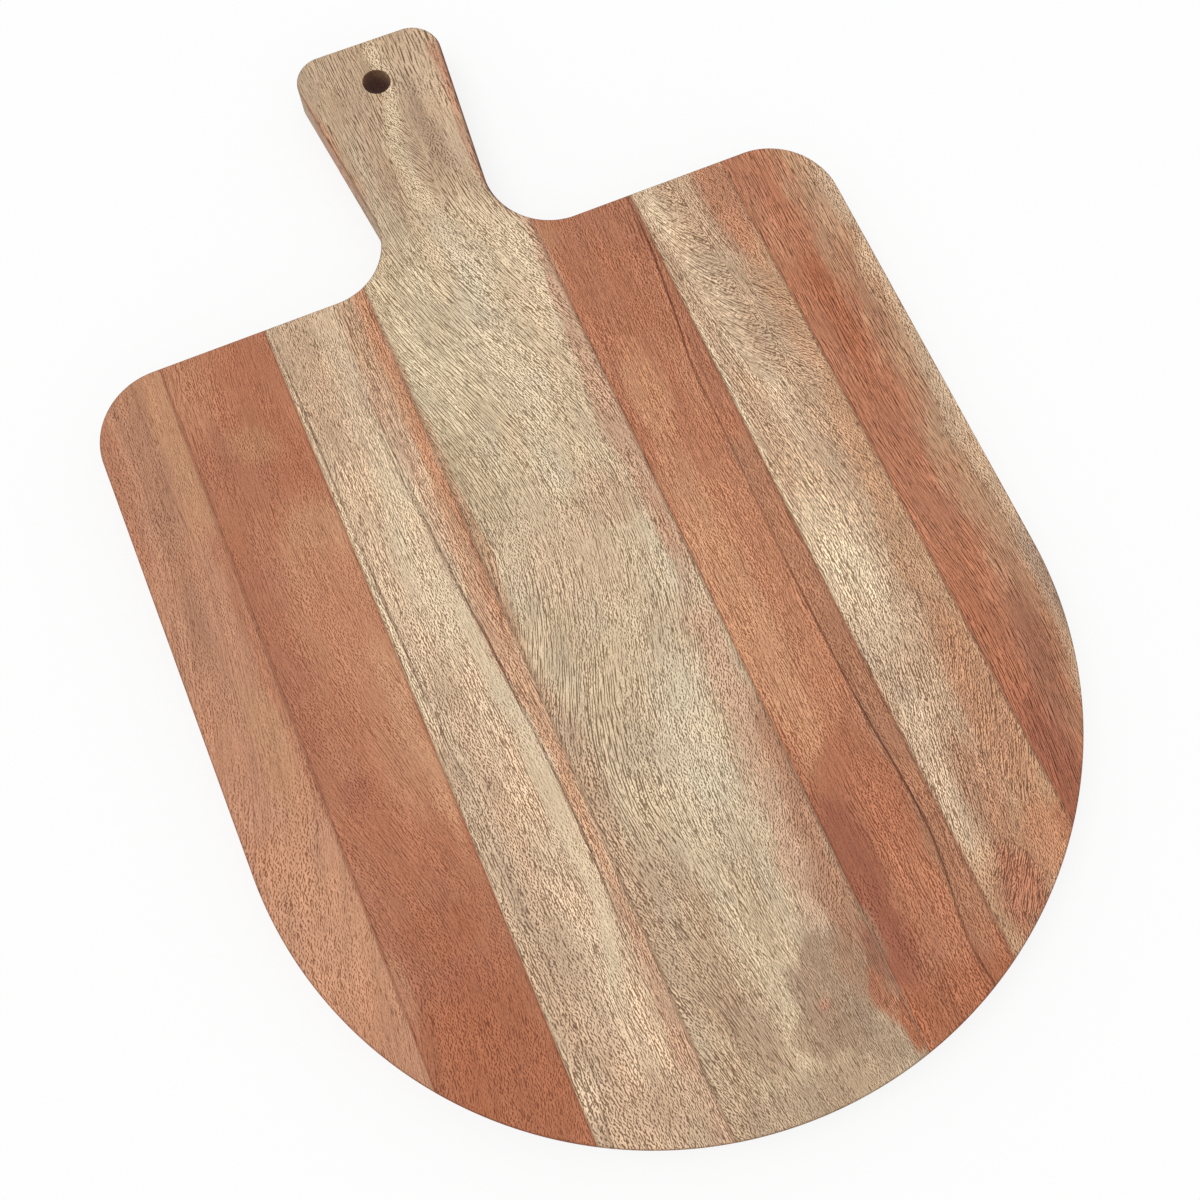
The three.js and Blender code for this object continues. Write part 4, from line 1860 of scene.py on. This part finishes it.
RIGHT_OUTER = StaveFigure(
    base=Tone.RED_TAN,
    marks=Marks.COMBED,
    areas=(
        Streak(Tone.TAN, ((132, 140, 10), (60, 142, 8), (0, 142, 8), (-50, 141, 9), (-100, 141, 5)), 0.9, 10.0, 20.0),
        Streak(Tone.RED_BROWN, ((60, 124, 5), (0, 123, 5), (-30, 122, 5)), 0.6, 6.0, 20.0),
        Streak(Tone.ORANGE_TAN, ((92, 116, 3), (60, 116, 3)), 0.6),
        Blotch(Tone.DEEP_RED, 125, 36, 5, 26, 0.75),
        Streak(
            Tone.GREY_CREAM,
            (
                (130, 147, 5), (60, 150, 5.5), (0, 149, 6), (-40, 148.5, 6), (-70, 149, 3), (-112, 143.5, 3.5),
                (-140, 138, 3),
            ),
            1.0, 7.0, 14.0, Marks.FLECKED,
        ),
        Blotch(Tone.CREAM, 150, -4, 4, 30, 0.4, 0.9, Marks.FLECKED),
        Streak(Tone.GREY_BROWN, ((66, 138.5, 3), (40, 138.5, 3), (14, 136.5, 2.5)), 0.75),
        Blotch(Tone.ASH_BROWN, 148, -92, 5, 26, 0.95, 0.8, Marks.FLECKED),
        Blotch(Tone.GREY_BROWN, 136.5, -95, 6.5, 28, 0.75, lean=-0.05),
        Blotch(Tone.RED_BROWN, 118.5, -106, 7, 33, 0.95),
        Blotch(Tone.BRICK, 118, -152, 9, 28, 0.9),
        Blotch(Tone.GREY_BROWN, 132, -137, 5, 10, 0.8),
        Blotch(Tone.DARK_BROWN, 129.5, -117, 5.5, 26, 0.9, lean=0.15),
    ),
    flow=Flow((
        (112, 0, 0, 0), (40, 0, 0, 0), (0, -2, -2, 0), (-40, -6, -6, -3), (-80, -6, -4, 0), (-110, 2, 4, 6),
        (-150, 9, 10, 11),
    )),
    seed=51,
)

HEARTWOOD = WoodFinish(thread=1.0, fibre=0.35, band=0.3, pore_tint=(0.4, 0.28, 0.22))
QUIET_HEARTWOOD = WoodFinish(thread=1.25, fibre=0.2, band=0.15, pore_tint=(0.42, 0.3, 0.24))
LIVELY_HEARTWOOD = WoodFinish(thread=1.9, fibre=0.4, band=0.3, pore_tint=(0.38, 0.27, 0.2))
COARSE_HEARTWOOD = WoodFinish(thread=1.75, fibre=0.4, band=0.3, pore_tint=(0.24, 0.18, 0.14))
SAPWOOD = WoodFinish(thread=1.75, fibre=0.25, band=0.2, pore_tint=(0.27, 0.22, 0.18))
LIVELY_SAPWOOD = WoodFinish(thread=2.0, fibre=0.25, band=0.2, pore_tint=(0.25, 0.2, 0.16))
QUIET_SAPWOOD = WoodFinish(thread=1.5, fibre=0.15, band=0.15, pore_tint=(0.27, 0.22, 0.18))

STAVES = (
    Stave("left_outer_stave", "left_outer_wood", Place.LEFT_EDGE, LEFT_OUTER, HEARTWOOD),
    Stave("left_middle_stave", "left_middle_wood", Place.INSIDE, LEFT_MIDDLE, QUIET_HEARTWOOD),
    Stave("left_inner_stave", "left_inner_wood", Place.INSIDE, LEFT_INNER, SAPWOOD),
    Stave("centre_handle_stave", "centre_wood", Place.HANDLE, CENTRE, QUIET_SAPWOOD),
    Stave("right_inner_stave", "right_inner_wood", Place.INSIDE, RIGHT_INNER, LIVELY_HEARTWOOD),
    Stave("right_middle_stave", "right_middle_wood", Place.INSIDE, RIGHT_MIDDLE, LIVELY_SAPWOOD),
    Stave("right_outer_stave", "right_outer_wood", Place.RIGHT_EDGE, RIGHT_OUTER, COARSE_HEARTWOOD),
)

GLUE_FILMS = (
    GlueFilm("left_outer_glue_line", "glue", Tone.RED_BROWN, 61),
    GlueFilm("left_middle_glue_line", "glue", Tone.TAN, 62),
    GlueFilm("left_inner_glue_line", "glue", Tone.TAUPE, 63),
    GlueFilm("right_inner_glue_line", "glue", Tone.TAUPE, 64),
    GlueFilm("right_middle_glue_line", "glue", Tone.GREY_BROWN, 65),
    GlueFilm("right_outer_glue_line", "glue", Tone.GREY_BROWN, 66),
)


@dataclass(frozen=True)
class Studio:
    """Pale floor, soft light from all sides, and the camera.

    Attributes:
        eye: the camera's place in millimetres.
        target: where it looks, in millimetres.
        heading: which way is up in the picture, in degrees from Y towards X.
        lens: focal length in millimetres, for the sensor's width.
        sensor: width of that sensor.
        near: nearest distance that the camera sees, in metres.
        sky: strength of the light from all sides.
        sun: strength of the lamp.
        sun_from: which way the lamp lies from the board.
        sun_width: how wide the lamp seems, in degrees.
        floor_half: half the floor's width in metres.
        floor_drop: how far the floor lies under the board, in metres.
        floor_tone: how pale the floor is.
        floor_glow: how much of the floor's shade the picture leaves out.
    """

    eye: Row = (-67.48, -145.59, 462.57)
    target: Row = (-4.65, -32.93, 15.0)
    heading: float = 23.731
    lens: float = 39.191
    sensor: float = 36.0
    near: float = 0.01
    sky: float = 0.8
    sun: float = 0.78
    sun_from: Row = (-0.45, 0.2, 1.0)
    sun_width: float = 40.0
    floor_half: float = 1.6
    floor_drop: float = 0.0003
    floor_tone: float = 0.92
    floor_glow: float = 0.8

    def build(self) -> None:
        """Set up the floor, the light and the camera."""
        self._floor()
        self._light()
        self._camera()
        bpy.context.scene.view_settings.view_transform = "Standard"

    def _seen(self, bench: NodeBench) -> Socket:
        """One for rays from the camera, a gloss or a clear material.

        Args:
            bench: where the nodes go.

        Returns:
            One or nothing.
        """
        path = bench.add("LightPath").outputs
        gloss = bench.math("MAXIMUM", path["Is Glossy Ray"], path["Is Transmission Ray"])
        return bench.math("MAXIMUM", path["Is Camera Ray"], gloss)

    def _floor(self) -> None:
        """A flat square of pale floor just under the board, which keeps a faint shadow."""
        corner = np.array(((-1.0, -1.0), (1.0, -1.0), (1.0, 1.0), (-1.0, 1.0))) * self.floor_half
        places = np.hstack((corner, np.full((4, 1), -self.floor_drop)))
        mesh = bpy.data.meshes.new("floor")
        mesh.from_pydata(places.tolist(), [], [(0, 1, 2, 3)])
        floor = bpy.data.objects.new("floor", mesh)
        bpy.context.scene.collection.objects.link(floor)
        pale = bpy.data.materials.new("pale_floor")
        bench = NodeBench(pale)
        matte = bench.add("BsdfDiffuse", {"Color": (*(self.floor_tone,) * 3, 1.0)}).outputs[0]
        glow = bench.add("Emission", {"Color": (1.0, 1.0, 1.0, 1.0), "Strength": 1.0}).outputs[0]
        share = bench.times(self._seen(bench), self.floor_glow)
        mixed = bench.add("MixShader", {0: share, 1: matte, 2: glow}).outputs[0]
        bench.add("OutputMaterial", {"Surface": mixed})
        mesh.materials.append(pale)

    def _light(self) -> None:
        """An even white sky and one broad lamp."""
        world = bpy.data.worlds.new("soft_sky")
        bpy.context.scene.world = world
        bench = NodeBench(world)
        strength = bench.add("MapRange", {0: self._seen(bench), 3: self.sky, 4: 1.0}).outputs[0]
        sky = bench.add("Background", {"Color": (1.0, 1.0, 1.0, 1.0), "Strength": strength}).outputs[0]
        bench.add("OutputWorld", {"Surface": sky})
        lamp = bpy.data.lights.new("broad_lamp", "SUN")
        lamp.energy = self.sun
        lamp.angle = math.radians(self.sun_width)
        holder = bpy.data.objects.new("broad_lamp", lamp)
        holder.rotation_euler = Vector(self.sun_from).to_track_quat("Z", "Y").to_euler()
        bpy.context.scene.collection.objects.link(holder)

    def _camera(self) -> None:
        """The camera at the photograph's angle: forward to the target, up by the heading."""
        eye, target = Vector(self.eye) * MM, Vector(self.target) * MM
        turn = math.radians(self.heading)
        forward = (target - eye).normalized()
        right = forward.cross(Vector((math.sin(turn), math.cos(turn), 0.0))).normalized()
        up = right.cross(forward)
        camera = bpy.data.cameras.new("camera")
        camera.lens = self.lens
        camera.sensor_width = self.sensor
        camera.clip_start = self.near
        holder = bpy.data.objects.new("camera", camera)
        axes = Matrix((right, up, -forward)).transposed().to_4x4()
        holder.matrix_world = Matrix.Translation(eye) @ axes
        bpy.context.scene.collection.objects.link(holder)
        bpy.context.scene.camera = holder


def main() -> None:
    """Build the board and its studio."""
    logging.basicConfig(level=logging.INFO, format="%(name)s: %(message)s")
    trace = PaddleOutline().trace()
    for part in (*STAVES, *GLUE_FILMS):
        piece = part.build(trace)
        part.dress(piece)
        log.info("%s: %d points, %d faces", piece.name, len(piece.data.vertices), len(piece.data.polygons))
    Studio().build()


if __name__ == "__main__":
    main()
